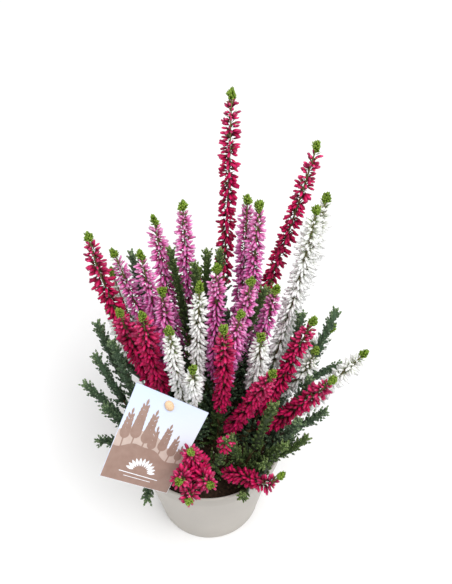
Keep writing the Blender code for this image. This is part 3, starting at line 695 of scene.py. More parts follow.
class Paint:
    """A material and short ways to add nodes to it."""

    def __init__(self, name, roughness, specular=0.5):
        self.material = bpy.data.materials.new(name)
        self.material.use_nodes = True
        self.tree = self.material.node_tree
        self.shader = self.tree.nodes["Principled BSDF"]
        self.set(self.shader, "Roughness", roughness)
        self.set(self.shader, "Specular IOR Level", specular)

    def node(self, kind, **values):
        made = self.tree.nodes.new("ShaderNode" + kind)
        for key, value in values.items():
            self.set(made, key.replace("_", " "), value)
        return made

    def set(self, node, key, value):
        """Put a number on a socket, or link another node's output to it."""
        if isinstance(value, bpy.types.NodeSocket):
            self.tree.links.new(value, node.inputs[key])
        else:
            node.inputs[key].default_value = value

    def ramp(self, factor, stops):
        made = self.node("ValToRGB", Fac=factor)
        elements = made.color_ramp.elements
        while len(elements) < len(stops):
            elements.new(0.5)
        for element, (place, colour) in zip(elements, sorted(stops.items())):
            element.position = place
            element.color = linear(colour)
        return made.outputs["Color"]

    def noise(self, scale, detail=3.0, vector=None):
        made = self.node("TexNoise", Scale=scale, Detail=detail)
        if vector is None:
            vector = self.node("TexCoord").outputs["Object"]
        self.set(made, "Vector", vector)
        return made.outputs["Fac"]

    def mix(self, factor, first, second):
        made = self.tree.nodes.new("ShaderNodeMix")
        made.data_type = "RGBA"
        self.set(made, 0, factor)
        self.set(made, 6, first)
        self.set(made, 7, second)
        return made.outputs[2]

    def spread(self, value, low, high):
        """A value from 0 to 1 spread to other limits."""
        made = self.node("MapRange", Value=value)
        self.set(made, "To Min", low)
        self.set(made, "To Max", high)
        return made.outputs["Result"]

    def brighten(self, colour, value):
        return self.node("HueSaturation", Color=colour, Value=value).outputs["Color"]

    def bump(self, height, strength, distance_mm):
        made = self.node("Bump", Height=height, Strength=strength, Distance=distance_mm * MM)
        self.set(self.shader, "Normal", made.outputs["Normal"])

    def tint(self):
        made = self.tree.nodes.new("ShaderNodeAttribute")
        made.attribute_name = "tint"
        parts = self.node("SeparateColor", Color=made.outputs["Color"])
        return parts.outputs["Red"], parts.outputs["Green"], parts.outputs["Blue"]

    def colour(self, value):
        self.set(self.shader, "Base Color", value)
        return self.material


def plant_paint(name, old_stops, young_stops, vary, roughness, specular=0.3, grain=(2600.0, 0.25, 0.12)):
    """Leaf or petal colour from the tint, with a fine grain."""
    paint = Paint(name, roughness, specular)
    along, piece, young = paint.tint()
    colour = paint.mix(young, paint.ramp(along, old_stops), paint.ramp(along, young_stops))
    colour = paint.brighten(colour, paint.spread(piece, *vary))
    scale, strength, depth = grain
    noise = paint.noise(scale)
    colour = paint.brighten(colour, paint.spread(noise, 0.82, 1.18))
    paint.bump(noise, strength, depth)
    return paint.colour(colour)


def make_paints():
    """Every plant material by name."""
    paints = {}
    # Petal ramps run from a bud's base to its tip. The dark low stops are partly the stalk's own colour and
    # partly painted shade between the buds. The pale top stops of the crimson and pink are partly painted
    # highlight.
    paints["crimson"] = plant_paint(
        "crimson_petal",
        {0.0: (44, 16, 22), 0.25: (92, 2, 38), 0.6: (192, 4, 76), 1.0: (222, 34, 110)},
        {0.0: (76, 40, 36), 0.3: (136, 18, 58), 0.7: (212, 40, 106), 1.0: (240, 112, 160)},
        (0.52, 1.20), 0.48, specular=0.22)
    paints["pink"] = plant_paint(
        "pink_petal",
        {0.0: (78, 30, 46), 0.25: (160, 34, 104), 0.6: (240, 102, 190), 1.0: (255, 192, 240)},
        {0.0: (110, 80, 66), 0.3: (196, 76, 142), 0.7: (244, 142, 204), 1.0: (254, 206, 238)},
        (0.66, 1.16), 0.45, specular=0.35)
    paints["white"] = plant_paint(
        "white_petal",
        {0.0: (104, 112, 70), 0.2: (200, 206, 184), 0.4: (247, 248, 245), 1.0: (254, 254, 254)},
        {0.0: (104, 116, 66), 0.25: (204, 210, 180), 0.5: (246, 248, 242), 1.0: (254, 254, 252)},
        (0.90, 1.04), 0.45, specular=0.3)
    paints["moss"] = plant_paint(
        "moss_leaf",
        {0.0: (22, 32, 14), 0.5: (56, 78, 34), 1.0: (98, 122, 62)},
        {0.0: (56, 76, 30), 0.5: (104, 130, 60), 1.0: (172, 188, 130)},
        (0.66, 1.15), 0.55)
    paints["leaf"] = plant_paint(
        "scale_leaf",
        {0.0: (30, 42, 30), 0.5: (66, 90, 66), 1.0: (122, 146, 114)},
        {0.0: (64, 88, 52), 0.5: (112, 140, 92), 1.0: (170, 188, 142)},
        (0.62, 1.18), 0.55)
    paints["tuft"] = plant_paint(
        "tuft_leaf",
        {0.0: (34, 52, 6), 0.5: (80, 112, 16), 1.0: (128, 158, 46)},
        {0.0: (48, 72, 8), 0.5: (106, 142, 26), 1.0: (172, 196, 92)},
        (0.62, 1.14), 0.5)
    paints["bract"] = plant_paint(
        "bract_leaf",
        {0.0: (52, 48, 28), 0.5: (80, 92, 44), 1.0: (122, 138, 72)},
        {0.0: (62, 80, 34), 0.5: (96, 124, 54), 1.0: (140, 164, 84)},
        (0.7, 1.12), 0.55)
    paints["axis"] = plant_paint(
        "spike_axis",
        {0.0: (84, 66, 46), 0.6: (112, 96, 64), 1.0: (120, 122, 70)},
        {0.0: (96, 80, 54), 1.0: (128, 130, 76)},
        (0.8, 1.15), 0.7, specular=0.2)
    paints["bark"] = plant_paint(
        "bark",
        {0.0: (64, 46, 34), 0.6: (92, 68, 48), 1.0: (104, 86, 52)},
        {0.0: (84, 64, 40), 1.0: (104, 98, 54)},
        (0.75, 1.2), 0.8, specular=0.2, grain=(1400.0, 0.6, 0.3))
    return paints


def grow_leafy(growth, axis, start, end, gap, chance, young_length, dull=0.0):
    """Scale leaves in pairs along an axis, each pair turned across the one before."""
    distances = np.arange(start, end, gap)
    count = len(distances)
    turn = np.arange(count) * (math.pi / 2 + 0.12)
    left = end - distances
    youth = np.clip(1 - left / young_length, 0.0, 1.0) * (1 - dull)
    lean = np.radians(np.interp(left, (0.0, 6.0), (18.0, 42.0)))
    for half in (0.0, math.pi):
        places, tangents, out = axis.outward(distances, turn + half + chance.normal(0, 0.15, count))
        aims = leaning(tangents, out, lean)
        size = SCALE_LEAF[0] * chance.uniform(0.85, 1.1, count)
        growth.place(LEAF_FORM, places + out * 0.35, aims, tangents, size, SCALE_LEAF[1], chance, youth)


def grow_nubs(growth, axis, start, end, gap, sizes, leaf, stations, chance, young_length, taper):
    """Short leafy side shoots wound along an axis, shorter towards its end."""
    count = max(3, int((end - start) / gap))
    distances = start + (end - start) * (np.arange(count) + chance.uniform(0.2, 0.8, count)) / count
    angles = wound(count, chance)
    places, tangents, out = axis.outward(distances, angles)
    left = end - distances
    aims = leaning(out, tangents, np.radians(NUB_RISE + chance.normal(0, 7, count)))
    lengths = chance.uniform(sizes[0], sizes[1], count) * np.clip(0.4 + left / taper, 0.4, 1.0)
    youth = 0.15 + chance.normal(0, 0.12, count) + 0.85 * np.clip(1 - left / young_length, 0, 1)
    youth = np.clip(youth, 0, 1)
    growth.sprigs(places, aims, tangents, lengths, leaf, stations, chance, youth)


def grow_club(growth, axis, start, end, widest, leaf, count, chance, youth):
    """A rounded leafy tip: rings of overlapping leaves, narrow below, broad above, closing at the top."""
    rows = max(3, int(round((end - start) / CLUB_ROW)))
    share = (np.repeat(np.arange(rows), count) + 0.5) / rows
    angles = (np.arange(rows * count) + 0.5 * np.repeat(np.arange(rows), count)) * 2 * math.pi / count
    angles = angles + chance.normal(0, 0.12, rows * count)
    reach = end - leaf[0] * 0.8 - start
    places, tangents, out = axis.outward(start + reach * share, angles)
    offset = widest * np.interp(share, (0.0, 0.6, 0.85, 1.0), (0.15, 0.62, 0.6, 0.15))[:, None]
    lean = np.interp(share, *CLUB_LEAN) + chance.normal(0, 6, rows * count)
    aims = leaning(tangents, out, np.radians(lean))
    size = leaf[0] * chance.uniform(0.86, 1.08, rows * count)
    growth.place(TUFT_FORM, places + out * offset, aims, out, size, leaf[1], chance, youth)


def grow_tuft(growth, axis, start, chance):
    """The bright leafy tip of a flower spike: a rounded club with smaller ones round its foot."""
    end = axis.length
    youth = chance.uniform(0.1, 0.5)
    grow_club(growth, axis, start + 0.5, end, CLUB_WIDTH, TUFT_LEAF, 5, chance, youth)
    count = int(chance.integers(2, 5))
    distances = start + chance.uniform(0.05, 0.34, count) * (end - start)
    angles = np.arange(count) * 2 * math.pi / count + chance.normal(0, 0.35, count)
    places, tangents, out = axis.outward(distances, angles)
    for place, tangent, outward in zip(places, tangents, out):
        length = chance.uniform(0.42, 0.72) * (end - start)
        side = outward * 0.34 * length + tangent * 0.36 * length
        small = Axis([place, place + side * 0.7, place + side + tangent * 0.5 * length])
        leaf = (TUFT_LEAF[0] * 0.7, TUFT_LEAF[1] * 0.78)
        youth = chance.uniform(0.1, 0.9)
        grow_club(growth, small, 0.2, small.length, CLUB_WIDTH * 0.5, leaf, 4, chance, youth)


def grow_buds(growth, axis, start, end, colour, full, chance, loose=TIGHT):
    """Buds wound round a spike in loose clumps: hanging low down, level higher up, upright at its top."""
    length, width, dense = BUDS[colour]
    draw, pitch, left = loose
    count = int((end - start) * dense * left)
    share = (np.arange(count) + chance.uniform(0.0, 1.0, count)) / count
    angles = wound(count, chance)
    distances = start + (end - start) * share
    distances = distances + draw * np.sin(2 * math.pi * distances / pitch + angles)
    places, tangents, out = axis.outward(distances, angles)
    tilt = np.radians(np.interp(share, *BUD_TILT) + chance.normal(0, BUD_TILT_VARY, count))
    aims = leaning(out, tangents, tilt) - np.array([0.0, 0.0, BUD_NOD])
    swell = np.sin(2 * math.pi * distances / CLUMP_LENGTH + 2 * angles + chance.uniform(0, 6))
    swell = 1 + CLUMP_VARY * swell * np.interp(share, (0.2, 0.7), (0.4, 1.0))
    size = np.interp(share, *BUD_SIZE) * chance.uniform(0.86, 1.08, count) * swell * full
    bases = places + out * chance.uniform(*BUD_SEAT, count)[:, None]
    rolls = tangents + 0.5 * chance.normal(0, 1, tangents.shape)
    youth = np.clip(share * 3 - 2, 0, 1)
    growth.place(BUD_FORM, bases, aims, rolls, length * size, width * size ** 0.6, chance, youth)


def grow_bracts(growth, axis, start, end, chance):
    """Small upright leaves between the buds."""
    count = int((end - start) * BRACT_DENSE)
    share = (np.arange(count) + chance.uniform(0, 1, count)) / count
    angles = chance.uniform(0, 2 * math.pi, count)
    places, tangents, out = axis.outward(start + (end - start) * share, angles)
    aims = leaning(out, tangents, np.radians(chance.uniform(25, 60, count)))
    youth = np.clip(share * 2.2 - 1.2, 0, 1)
    growth.place(LEAF_FORM, places + out * 0.4, aims, tangents, BRACT[0] * chance.uniform(0.8, 1.25, count),
                 BRACT[1], chance, youth)


def grow_spike(node, spikes, paints, starts):
    """The buds, and the axis with its bracts and leafy tip, of the spikes that one node holds."""
    chance = seeded(node)
    buds = Growth()
    wood = Growth()
    bracts = Growth()
    tufts = Growth()
    neck, tip_share = LONE_TIP if len(spikes) == 1 else CLUSTERED_TIP
    for line, start in zip(spikes, starts):
        axis = Axis(line.points)
        body_end = axis.length - line.tuft * tip_share
        full = FULL.get(line.branch, 1.0)
        low = max(0.5, start - BUD_EARLY)
        loose = LOOSE.get(line.branch, TIGHT)
        grow_buds(buds, axis, low, body_end - neck, line.colour, full, chance, loose)
        wood.tube(axis, start, axis.length - 2.0, SPIKE_AXIS, chance, sides=6, youth=0.5)
        grow_bracts(bracts, axis, start, body_end, chance)
        grow_tuft(tufts, axis, body_end, chance)
    colour = spikes[0].colour
    buds.build(node + "_buds", paints[colour], node, colour + "_bloom")
    wood.build(node + "_axis", paints["axis"], node, "stem_leaf")
    bracts.build(node + "_bracts", paints["bract"], node, "foliage")
    tufts.build(node + "_tuft", paints["tuft"], node, "foliage")


def grow_shoot(leaves, axis, line, chance):
    """A leafy shoot with no flowers."""
    start = line.bloom_start()
    sizes = [size * FRONDS.get(line.branch, 1.0) for size in NUB_SIZE]
    leaves.tube(axis, start, axis.length - 2.5, SHOOT_CORE, chance, youth=0.1)
    # painted shade on the shoot's core
    leaves.shade()
    grow_leafy(leaves, axis, start, axis.length - 1.0, 1.0, chance, 10.0)
    grow_nubs(leaves, axis, start, axis.length - 1.5, NUB_GAP, sizes, NUB_LEAF, 4, chance, 14.0, taper=5.0)


def grow_twig(leaves, branch, axis, end, chance):
    """Leaves and leafy side shoots on the woody part of a spray, longer low down."""
    grow_leafy(leaves, axis, FORK_SPREAD, end, TWIG_LEAF_GAP, chance, 1.0, dull=1.0)
    middle = min(end, max(SIDE_START + 6.0, 0.5 * end))
    for start, stop, sizes in ((SIDE_START, middle, LOW_SIDE), (middle, end, HIGH_SIDE)):
        if stop - start > 4.0:
            lengths = [size * FRONDS.get(branch, 1.0) for size in sizes]
            grow_nubs(leaves, axis, start, stop, SIDE_GAP, lengths, SIDE_LEAF, 6, chance, 1.0, taper=0.5)


# leafy shoots that end in a few buds, with the length that the buds cover
BUDDED = {"crimson_front_spike_4": 11.0}
# branches whose leaves are the greener kind
MOSSY = ("green_front", "crimson_front", "crimson_middle", "green_centre")


def grow_branch(branch, own, paints):
    """The wood and leaves of one branch, up to its flower spikes."""
    green = branch.startswith("green")
    node = branch + ("_shoots" if green else "_stem")
    chance = seeded(branch)
    wood = Growth()
    leaves = Growth()
    root = np.array([*BRANCHES[branch][0], 0.0])
    fork = fork_of(branch)
    foot = root + (0, 0, FIT_GAP - ROOT_DEPTH)
    rise = fork - root
    route = Axis([foot, root - (0, 0, 6), root, root + rise * 0.5, fork, fork + rise * 0.12])
    wood.tube(route, 0.0, route.length, (ROOT_RADIUS, ROOT_RADIUS * 0.85), chance, sides=12)
    grow_nubs(leaves, route, ROOT_DEPTH + 1.0, route.length, UNDER_GAP, UNDER_SIZE, UNDER_LEAF, 7, chance,
              1.0, taper=0.5)
    for line in own:
        axis = Axis(line.points)
        leafy = line.colour == "green"
        end = axis.length - 1.5 if leafy else line.bloom_start()
        wood.tube(axis, 0.0, end, (TWIG_FOOT, SHOOT_TOP if leafy else SPIKE_AXIS[0]), chance, youth=0.3)
        grow_twig(leaves, branch, axis, line.bloom_start() - 0.5, chance)
        if leafy:
            grow_shoot(leaves, axis, line, chance)
        if line.node in BUDDED:
            buds = Growth()
            low = axis.length - BUDDED[line.node]
            grow_buds(buds, axis, low, axis.length - 1.0, "crimson", 0.9, chance)
            buds.build(branch + "_buds", paints["crimson"], node, "crimson_bloom")
    wood.build(branch + "_wood", paints["bark"], node, "stem_leaf")
    paint = paints["moss" if branch in MOSSY else "leaf"]
    leaves.build(branch + "_leaves", paint, node, "foliage" if green else "stem_leaf")


def grow_plants(lines, paints):
    for branch in BRANCHES:
        own = [line for line in lines if line.branch == branch]
        forked = [line for line in own if np.allclose(line.start, fork_of(branch))]
        grow_branch(branch, forked, paints)
        flowering = [line for line in own if line.colour != "green"]
        for node in sorted({line.node for line in flowering}):
            spikes = [line for line in flowering if line.node == node and line.bloom]
            starts = [line.bloom_start() for line in spikes] if len(spikes) == 1 else [0.5] * len(spikes)
            grow_spike(node, spikes, paints, starts)


POT_SEGMENTS = 128
POT_PROFILE = [
    (0.0, POT_FLOOR),
    (POT_FOOT_RADIUS - POT_WALL - 2.0, POT_FLOOR),
    (POT_FOOT_RADIUS - POT_WALL - 0.5, POT_FLOOR + 0.4),
    (POT_FOOT_RADIUS - POT_WALL, POT_FLOOR + 2.0),
    (POT_TOP_RADIUS - POT_WALL, POT_HEIGHT - RIM_HEIGHT - 0.5),
    (POT_TOP_RADIUS - POT_WALL + 0.4, POT_HEIGHT - RIM_HEIGHT),
    (RIM_RADIUS - POT_WALL * 1.4, POT_HEIGHT - 1.2),
    (RIM_RADIUS - POT_WALL * 1.2, POT_HEIGHT - 0.3),
    (RIM_RADIUS - POT_WALL, POT_HEIGHT),
    (RIM_RADIUS - 0.7, POT_HEIGHT),
    (RIM_RADIUS - 0.25, POT_HEIGHT - 0.25),
    (RIM_RADIUS, POT_HEIGHT - 0.8),
    (RIM_RADIUS, POT_HEIGHT - 2.2),
    (RIM_RADIUS - 0.5, POT_HEIGHT - 2.6),
    (RIM_RADIUS - 0.6, POT_HEIGHT - RIM_HEIGHT + 0.5),
    (RIM_RADIUS - 0.9, POT_HEIGHT - RIM_HEIGHT),
    (POT_TOP_RADIUS + 0.4, POT_HEIGHT - RIM_HEIGHT - 0.2),
    (POT_TOP_RADIUS - 0.1, POT_HEIGHT - RIM_HEIGHT - 0.8),
    (POT_FOOT_RADIUS + 0.35, 4.0),
    (POT_FOOT_RADIUS + 0.1, 1.2),
    (POT_FOOT_RADIUS - 0.4, 0.3),
    (POT_FOOT_RADIUS - 1.2, 0.0),
    (POT_FOOT_RADIUS - 4.0, 0.0),
    (POT_FOOT_RADIUS - 4.6, 0.5),
    (0.0, 0.5),
]


def lathed(profile, segments):
    """Points and faces of a closed profile of (radius, height) turned round the Z axis."""
    rings = profile[1:-1]
    angles = circle(segments)
    points = [(radius * math.cos(angle), radius * math.sin(angle), height)
              for radius, height in rings for angle in angles]
    points += [(0.0, 0.0, profile[0][1]), (0.0, 0.0, profile[-1][1])]
    return points, drum_faces(len(rings), segments)


CUTTER_SIDES = 40


def cut(piece, cutters):
    """Cut round holes out of a piece; a cutter is two ends and a radius in millimetres above the floor."""
    collection = bpy.data.collections.new("cutters")
    bpy.context.scene.collection.children.link(collection)
    for first, second, radius in cutters:
        route = Axis([first, second])
        places, tangents, across, over = route.sample(np.array([0.0, route.length]))
        ring = leaning(across[:1], over[:1], circle(CUTTER_SIDES))
        points = np.concatenate([places[0] + ring * radius, places[1] + ring * radius]) * MM
        low = list(range(CUTTER_SIDES))
        high = [side + CUTTER_SIDES for side in low]
        faces = [low[::-1], high]
        faces += zip(low, low[1:] + low[:1], high[1:] + high[:1], high)
        mesh = bpy.data.meshes.new("cutter")
        mesh.from_pydata(points, [], faces)
        collection.objects.link(bpy.data.objects.new("cutter", mesh))
    modifier = piece.modifiers.new("holes", "BOOLEAN")
    modifier.operation = "DIFFERENCE"
    modifier.operand_type = "COLLECTION"
    modifier.collection = collection
    modifier.solver = "EXACT"
    graph = bpy.context.evaluated_depsgraph_get()
    result = bpy.data.meshes.new_from_object(piece.evaluated_get(graph))
    piece.modifiers.clear()
    piece.data = result
    for cutter in list(collection.objects):
        bpy.data.objects.remove(cutter)
    bpy.data.collections.remove(collection)


def make_pot():
    """A plain moulded pot with a lipped rim band, a foot ring and drain holes."""
    paint = Paint("pot_plastic", 0.42)
    fine = paint.noise(1800.0)
    broad = paint.noise(28.0)
    colour = paint.ramp(broad, {0.3: (176, 170, 162), 0.7: (186, 180, 172)})
    paint.set(paint.shader, "Roughness", paint.spread(broad, 0.36, 0.52))
    paint.bump(fine, 0.15, 0.12)
    paint.colour(colour)
    points, faces = lathed(POT_PROFILE, POT_SEGMENTS)
    pot = make_piece("pot_body", points, faces, paint.material, "pot")
    cutters = []
    for number in range(DRAIN_COUNT):
        angle = 2 * math.pi * number / DRAIN_COUNT
        middle = np.array([DRAIN_RING * math.cos(angle), DRAIN_RING * math.sin(angle), 0.0])
        cutters.append((middle - (0, 0, 3), middle + (0, 0, 6), DRAIN_RADIUS))
    cut(pot, cutters)


def soil_height(x, y):
    """The crumbly top of the soil about its mean height."""
    waves = np.sin(0.21 * x + 1.3) * np.cos(0.17 * y)
    waves = waves + np.sin(0.39 * x - 0.31 * y) + np.cos(0.44 * y + 0.12 * x)
    return SOIL_RELIEF * waves / 2


CRUMB_FORM = Form((0.2, 0.75), (0.8, 0.9), 5)
SOIL_SEGMENTS = 96
SOIL_RINGS = 30
SOIL_ROUGH = 0.28
CRUMBS = 700
GRITS = 60


def make_soil():
    """The soil's uneven top with loose crumbs and a few pale grains, down to the pot's floor."""
    chance = seeded("soil")
    slope = (POT_TOP_RADIUS - POT_FOOT_RADIUS) / (POT_HEIGHT - RIM_HEIGHT)
    bottom_radius = POT_FOOT_RADIUS - POT_WALL - 2 * FIT_GAP
    neck = POT_HEIGHT - RIM_HEIGHT
    top_radius = bottom_radius + slope * (neck - POT_FLOOR) - FIT_GAP
    rows = []
    for ring in range(1, SOIL_RINGS + 1):
        angles = circle(SOIL_SEGMENTS)
        radius = top_radius * ring / SOIL_RINGS
        x, y = radius * np.cos(angles), radius * np.sin(angles)
        rough = chance.normal(0, SOIL_ROUGH, SOIL_SEGMENTS)
        rows.append(np.stack([x, y, SOIL_TOP + soil_height(x, y) + rough], axis=1))
    rows.append(np.stack([x, y, np.full(SOIL_SEGMENTS, neck - SOIL_RELIEF)], axis=1))
    low = bottom_radius / top_radius
    rows.append(np.stack([x * low, y * low, np.full(SOIL_SEGMENTS, POT_FLOOR + FIT_GAP)], axis=1))
    points = np.concatenate(rows + [[[0, 0, SOIL_TOP], [0, 0, POT_FLOOR + FIT_GAP]]])
    faces = drum_faces(len(rows), SOIL_SEGMENTS)
    paint = Paint("soil_ground", 0.95, specular=0.15)
    noise = paint.noise(420.0, 6.0)
    paint.bump(noise, 0.8, 1.0)
    paint.colour(paint.ramp(noise, {0.3: (28, 20, 15), 0.6: (58, 42, 31), 0.8: (84, 64, 48)}))
    make_piece("soil_top", points, faces, paint.material, "soil")
    for name, count, sizes, stops in (
            ("soil_crumbs", CRUMBS, (0.5, 1.7), {0.0: (36, 26, 19), 1.0: (88, 66, 48)}),
            ("soil_grit", GRITS, (0.5, 1.1), {0.0: (190, 184, 170), 1.0: (226, 222, 210)})):
        growth = Growth()
        reach = (top_radius - 1.5) * np.sqrt(chance.random(count))
        angles = chance.uniform(0, 2 * math.pi, count)
        x, y = reach * np.cos(angles), reach * np.sin(angles)
        bases = np.stack([x, y, soil_height(x, y) - 0.3], axis=1)
        aims = chance.normal(0, 1, (count, 3)) + (0, 0, 0.6)
        size = chance.uniform(*sizes, count)
        rolls = chance.normal(0, 1, (count, 3))
        growth.place(CRUMB_FORM, bases, aims, rolls, size * 1.5, size * 0.7, chance, 0.0)
        paint = Paint(name + "_grain", 0.9, specular=0.2)
        piece = paint.tint()[1]
        paint.bump(paint.noise(1500.0), 0.7, 0.4)
        growth.build(name, paint.colour(paint.ramp(piece, stops)), "soil", "soil")


CARD_ACROSS = 30
CARD_UP = 36
INK_LIFTS = {"haze": 0.05, "band": 0.09, "mark": 0.13}
BAND_PAINT = {0.3: (150, 122, 110), 0.7: (160, 133, 121)}
HAZE_PAINT = {0.3: (192, 172, 162), 0.7: (201, 182, 172)}
WHITE_PAINT = {0.3: (240, 243, 248), 0.7: (246, 248, 252)}
WREATH_LEAVES = 11
WREATH_LEAF = (5.2, 1.8)
WREATH_HEIGHT = -20.2
WREATH_RADII = (4.6, 3.4)
SPRIG_FOOT = -9.5
# each printed line: start across and up, length, width
PRINTED_LINES = [(-13.0, -22.6, 26.0, 0.5), (-9.0, -24.8, 18.0, 0.35)]


def on_card(x, y, depth):
    """A point of the card in millimetres above the floor."""
    return card_point(x, y, depth) + Vector((0, 0, SOIL_TOP))


def make_card():
    """The coated card with its hole, pale blue at the top and white below."""
    points = []
    faces = []
    for depth in (CARD_THICKNESS / 2, -CARD_THICKNESS / 2):
        for row in range(CARD_UP + 1):
            for column in range(CARD_ACROSS + 1):
                x = (column / CARD_ACROSS - 0.5) * CARD_WIDTH
                y = (row / CARD_UP - 0.5) * CARD_HEIGHT
                points.append(on_card(x, y, depth))
    across = CARD_ACROSS + 1
    back = len(points) // 2
    for row in range(CARD_UP):
        for column in range(CARD_ACROSS):
            a = row * across + column
            b, c, d = a + 1, a + across + 1, a + across
            faces += [(a, b, c, d), (back + d, back + c, back + b, back + a)]
    border = list(range(across))
    border += [row * across + CARD_ACROSS for row in range(1, CARD_UP + 1)]
    border += [CARD_UP * across + column for column in range(CARD_ACROSS - 1, -1, -1)]
    border += [row * across for row in range(CARD_UP - 1, 0, -1)]
    for first, second in zip(border, border[1:] + border[:1]):
        faces.append((first, back + first, back + second, second))
    paint = Paint("card_board", 0.38)
    fibre = paint.noise(900.0, 4.0)
    place = paint.node("SeparateXYZ", Vector=paint.node("TexCoord").outputs["Generated"])
    sky = paint.ramp(place.outputs["Z"], {0.3: (240, 242, 248), 1.0: (196, 212, 244)})
    paint.bump(fibre, 0.1, 0.05)
    paint.colour(paint.brighten(sky, paint.spread(fibre, 0.985, 1.015)))
    card = make_piece("card_board", points, faces, paint.material, "tag_card", smooth=False)
    hole, out = peg_axis()
    middle = np.array(hole) + (0, 0, SOIL_TOP)
    cut(card, [(middle - np.array(out) * 3, middle + np.array(out) * 3, CARD_HOLE_RADIUS)])


class Print:
    """Flat ink shapes laid on the card's face, each a strip between two edges."""

    def __init__(self, layer):
        self.layer = layer
        self.points = []
        self.faces = []

    def strip(self, left, right):
        start = len(self.points)
        low = CARD_THICKNESS / 2 - 0.05
        high = CARD_THICKNESS / 2 + INK_LIFTS[self.layer]
        for (x1, y1), (x2, y2) in zip(left, right):
            self.points += [on_card(x1, y1, low), on_card(x1, y1, high)]
            self.points += [on_card(x2, y2, high), on_card(x2, y2, low)]
        for step in range(len(left) - 1):
            a = start + 4 * step
            for corner in range(4):
                after = (corner + 1) % 4
                self.faces.append((a + corner, a + after, a + 4 + after, a + 4 + corner))
        end = len(self.points) - 4
        self.faces.append((start + 3, start + 2, start + 1, start))
        self.faces.append((end, end + 1, end + 2, end + 3))

    def stroke(self, x, y, angle, length, width, bend=0.0, blunt=0.08):
        """A leaf or line shape from a point, towards an angle in degrees, widest in its middle."""
        left = []
        right = []
        for share in np.linspace(0, 1, 11):
            turn = math.radians(angle + bend * share)
            along = np.array([x + length * share * math.cos(turn), y + length * share * math.sin(turn)])
            half = width / 2 * max(blunt, math.sin(math.pi * share) ** 0.8)
            side = np.array([-math.sin(turn), math.cos(turn)]) * half
            left.append(along + side)
            right.append(along - side)
        self.strip(left, right)

    def sprig(self, x, y, height, lean, leaf, pairs):
        """A stem with pairs of leaves, smaller towards its tip."""
        self.stroke(x, y, 90 + lean, height, 0.9, bend=-lean * 0.6, blunt=1.0)
        for number in range(pairs):
            share = 0.25 + 0.7 * number / pairs
            turn = math.radians(90 + lean * (1 - 0.6 * share))
            place = (x + height * share * math.cos(turn), y + height * share * math.sin(turn))
            size = leaf * (1.1 - 0.6 * share)
            for side in (-1, 1):
                self.stroke(*place, 90 + lean + side * 40, size, size * 0.42, bend=-side * 14)
        self.stroke(x + height * 0.94 * math.cos(turn), y + height * 0.94 * math.sin(turn), 90 + lean * 0.4,
                    leaf * 0.6, leaf * 0.22)

    def build(self, stops):
        name = "card_print_" + self.layer
        paint = Paint(name + "_ink", 0.4)
        ink = paint.noise(260.0, 3.0)
        paint.bump(paint.noise(1200.0), 0.08, 0.04)
        paint.colour(paint.ramp(ink, stops))
        make_piece(name, self.points, self.faces, paint.material, "tag_card", smooth=False)


# each printed sprig: place across, height, lean in degrees, leaf length, pairs of leaves
MEADOW = [
    (-18.0, 22, 4, 6.4, 5),
    (-12.0, 30, 2, 7.2, 7),
    (-5.5, 26, -3, 6.8, 6),
    (0.5, 17, 6, 5.8, 4),
    (6.0, 21, -3, 6.2, 5),
    (12.5, 16, -5, 5.8, 4),
    (18.5, 11, 3, 4.8, 3),
]


def make_print():
    """A plain printed meadow: two rolling bands, leafy sprigs above them and a small wreath below."""
    half = CARD_WIDTH / 2 - 0.25
    bottom = -CARD_HEIGHT / 2 + 0.25
    xs = np.linspace(-half, half, 60)
    near = [(x, -7.0 + 2.4 * math.sin(0.15 * x + 2.2) + 0.7 * math.sin(0.41 * x)) for x in xs]
    far = [(x, 1.5 + 3.0 * math.sin(0.12 * x + 2.6) + 0.8 * math.sin(0.37 * x + 1)) for x in xs]
    haze = Print("haze")
    haze.strip([(x, y - 0.4) for x, y in near], far)
    haze.build(HAZE_PAINT)
    band = Print("band")
    band.strip([(x, bottom) for x in xs], near)
    for x, height, lean, leaf, pairs in MEADOW:
        band.sprig(x, SPRIG_FOOT, height, lean, leaf, pairs)
    band.build(BAND_PAINT)
    mark = Print("mark")
    for number in range(WREATH_LEAVES):
        angle = math.radians(8 + 164 * number / (WREATH_LEAVES - 1))
        x = WREATH_RADII[0] * math.cos(angle)
        y = WREATH_HEIGHT + WREATH_RADII[1] * math.sin(angle)
        mark.stroke(x, y, math.degrees(angle), *WREATH_LEAF)
    for x, y, length, width in PRINTED_LINES:
        mark.stroke(x, y, 0, length, width, blunt=1.0)
    mark.build(WHITE_PAINT)


HEAD_FORM = Form((0.01, 0.1, 0.3, 0.55, 0.78, 0.93), (0.88, 0.97, 1.0, 0.88, 0.62, 0.34), 32,
                 flat=PEG_HEAD[0] / PEG_HEAD[1])
STAKE_RING = 0.8
STAKE_SIDES = 24


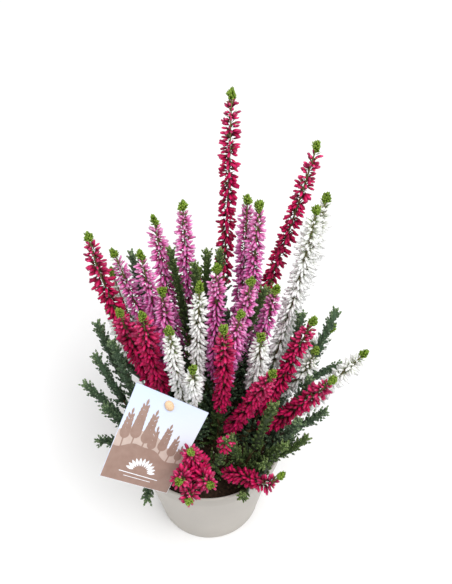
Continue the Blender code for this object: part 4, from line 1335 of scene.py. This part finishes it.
def make_stake():
    """The wooden stake, bent over to pass through the card's hole, with its domed oval head."""
    route = stake_route()
    hole, out = peg_axis()
    elbow = np.array(hole - out * STAKE_BACK)
    below, above = np.array(route[3]), np.array(route[4])
    bend = [(1 - t) ** 2 * below + 2 * t * (1 - t) * elbow + t ** 2 * above for t in np.linspace(0, 1, 9)]
    points = [np.array(place) for place in route[:3]] + bend + [np.array(route[5])]
    axis = Axis(points)
    chance = seeded("stake")
    rod = Growth()
    rod.tube(axis, 0.0, axis.length, (PEG_RADIUS, PEG_RADIUS), chance, sides=STAKE_SIDES, rough=0.01,
             ring=STAKE_RING)
    head = Growth()
    head.place(HEAD_FORM, np.array([route[5]]), np.array([out]), np.array([HEAD_ROLL]),
               PEG_HEAD_LENGTH * 0.92, PEG_HEAD[1], chance, 0.0)
    for name, growth, stops in (("stake_rod", rod, {0.35: (150, 112, 74), 0.65: (182, 142, 98)}),
                                ("stake_head", head, {0.35: (222, 184, 146), 0.65: (238, 208, 174)})):
        paint = Paint(name + "_wood", 0.55, specular=0.3)
        places = paint.node("TexCoord").outputs["Object"]
        stretched = paint.node("Mapping", Vector=places, Scale=(1.0, 1.0, 0.12))
        grain = paint.noise(1500.0, 4.0, stretched.outputs["Vector"])
        paint.bump(grain, 0.3, 0.1)
        growth.build(name, paint.colour(paint.ramp(grain, stops)), "tag_stake", "stake_wood")


FLOOR_HALF = 3.0
CAMERA_PLACE = (0.0126, -0.3387, 0.6843)
CAMERA_TILT = 38.0
CAMERA_LENS = 59.9
CAMERA_SENSOR = 36.0
# each light: place, side length, power
LIGHTS = [
    ((0.36, -0.46, 1.28), 0.9, 15.0),
    ((-0.80, -0.20, 1.0), 0.9, 3.0),
    ((0.0, 0.9, 0.9), 0.8, 3.0),
]
LIGHT_AIM = Vector((0.0, 0.0, 0.15))
SKY_STRENGTH = 0.46


def make_stage():
    """A plain pale floor, soft lights and the camera at the photograph's angle."""
    mesh = bpy.data.meshes.new("floor")
    half = FLOOR_HALF
    corners = [(-half, -half, 0), (half, -half, 0), (half, half, 0), (-half, half, 0)]
    mesh.from_pydata(corners, [], [(0, 1, 2, 3)])
    paint = Paint("floor_paper", 0.9, specular=0.1)
    paint.colour(paint.ramp(paint.noise(3.0), {0.0: (250, 250, 250), 1.0: (254, 254, 254)}))
    mesh.materials.append(paint.material)
    floor = show("floor", mesh)
    for number, (place, size, power) in enumerate(LIGHTS):
        light = bpy.data.lights.new("light_%d" % number, "AREA")
        light.size = size
        light.energy = power
        holder = show("light_%d" % number, light)
        holder.location = place
        holder.rotation_euler = (LIGHT_AIM - Vector(place)).to_track_quat("-Z", "Y").to_euler()
    world = bpy.data.worlds.new("studio")
    world.use_nodes = True
    world.node_tree.nodes["Background"].inputs["Color"].default_value = (1.0, 1.0, 1.0, 1.0)
    world.node_tree.nodes["Background"].inputs["Strength"].default_value = SKY_STRENGTH
    bpy.context.scene.world = world
    camera = bpy.data.cameras.new("camera")
    camera.lens = CAMERA_LENS
    camera.sensor_width = CAMERA_SENSOR
    camera.clip_start = 0.01
    holder = show("camera", camera)
    holder.location = CAMERA_PLACE
    holder.rotation_euler = (math.radians(CAMERA_TILT), 0.0, 0.0)
    bpy.context.scene.camera = holder
    bpy.context.scene.view_settings.view_transform = "Standard"


def main():
    paints = make_paints()
    grow_plants(bend_clear(make_lines()), paints)
    make_pot()
    make_soil()
    make_card()
    make_print()
    make_stake()
    make_stage()


main()
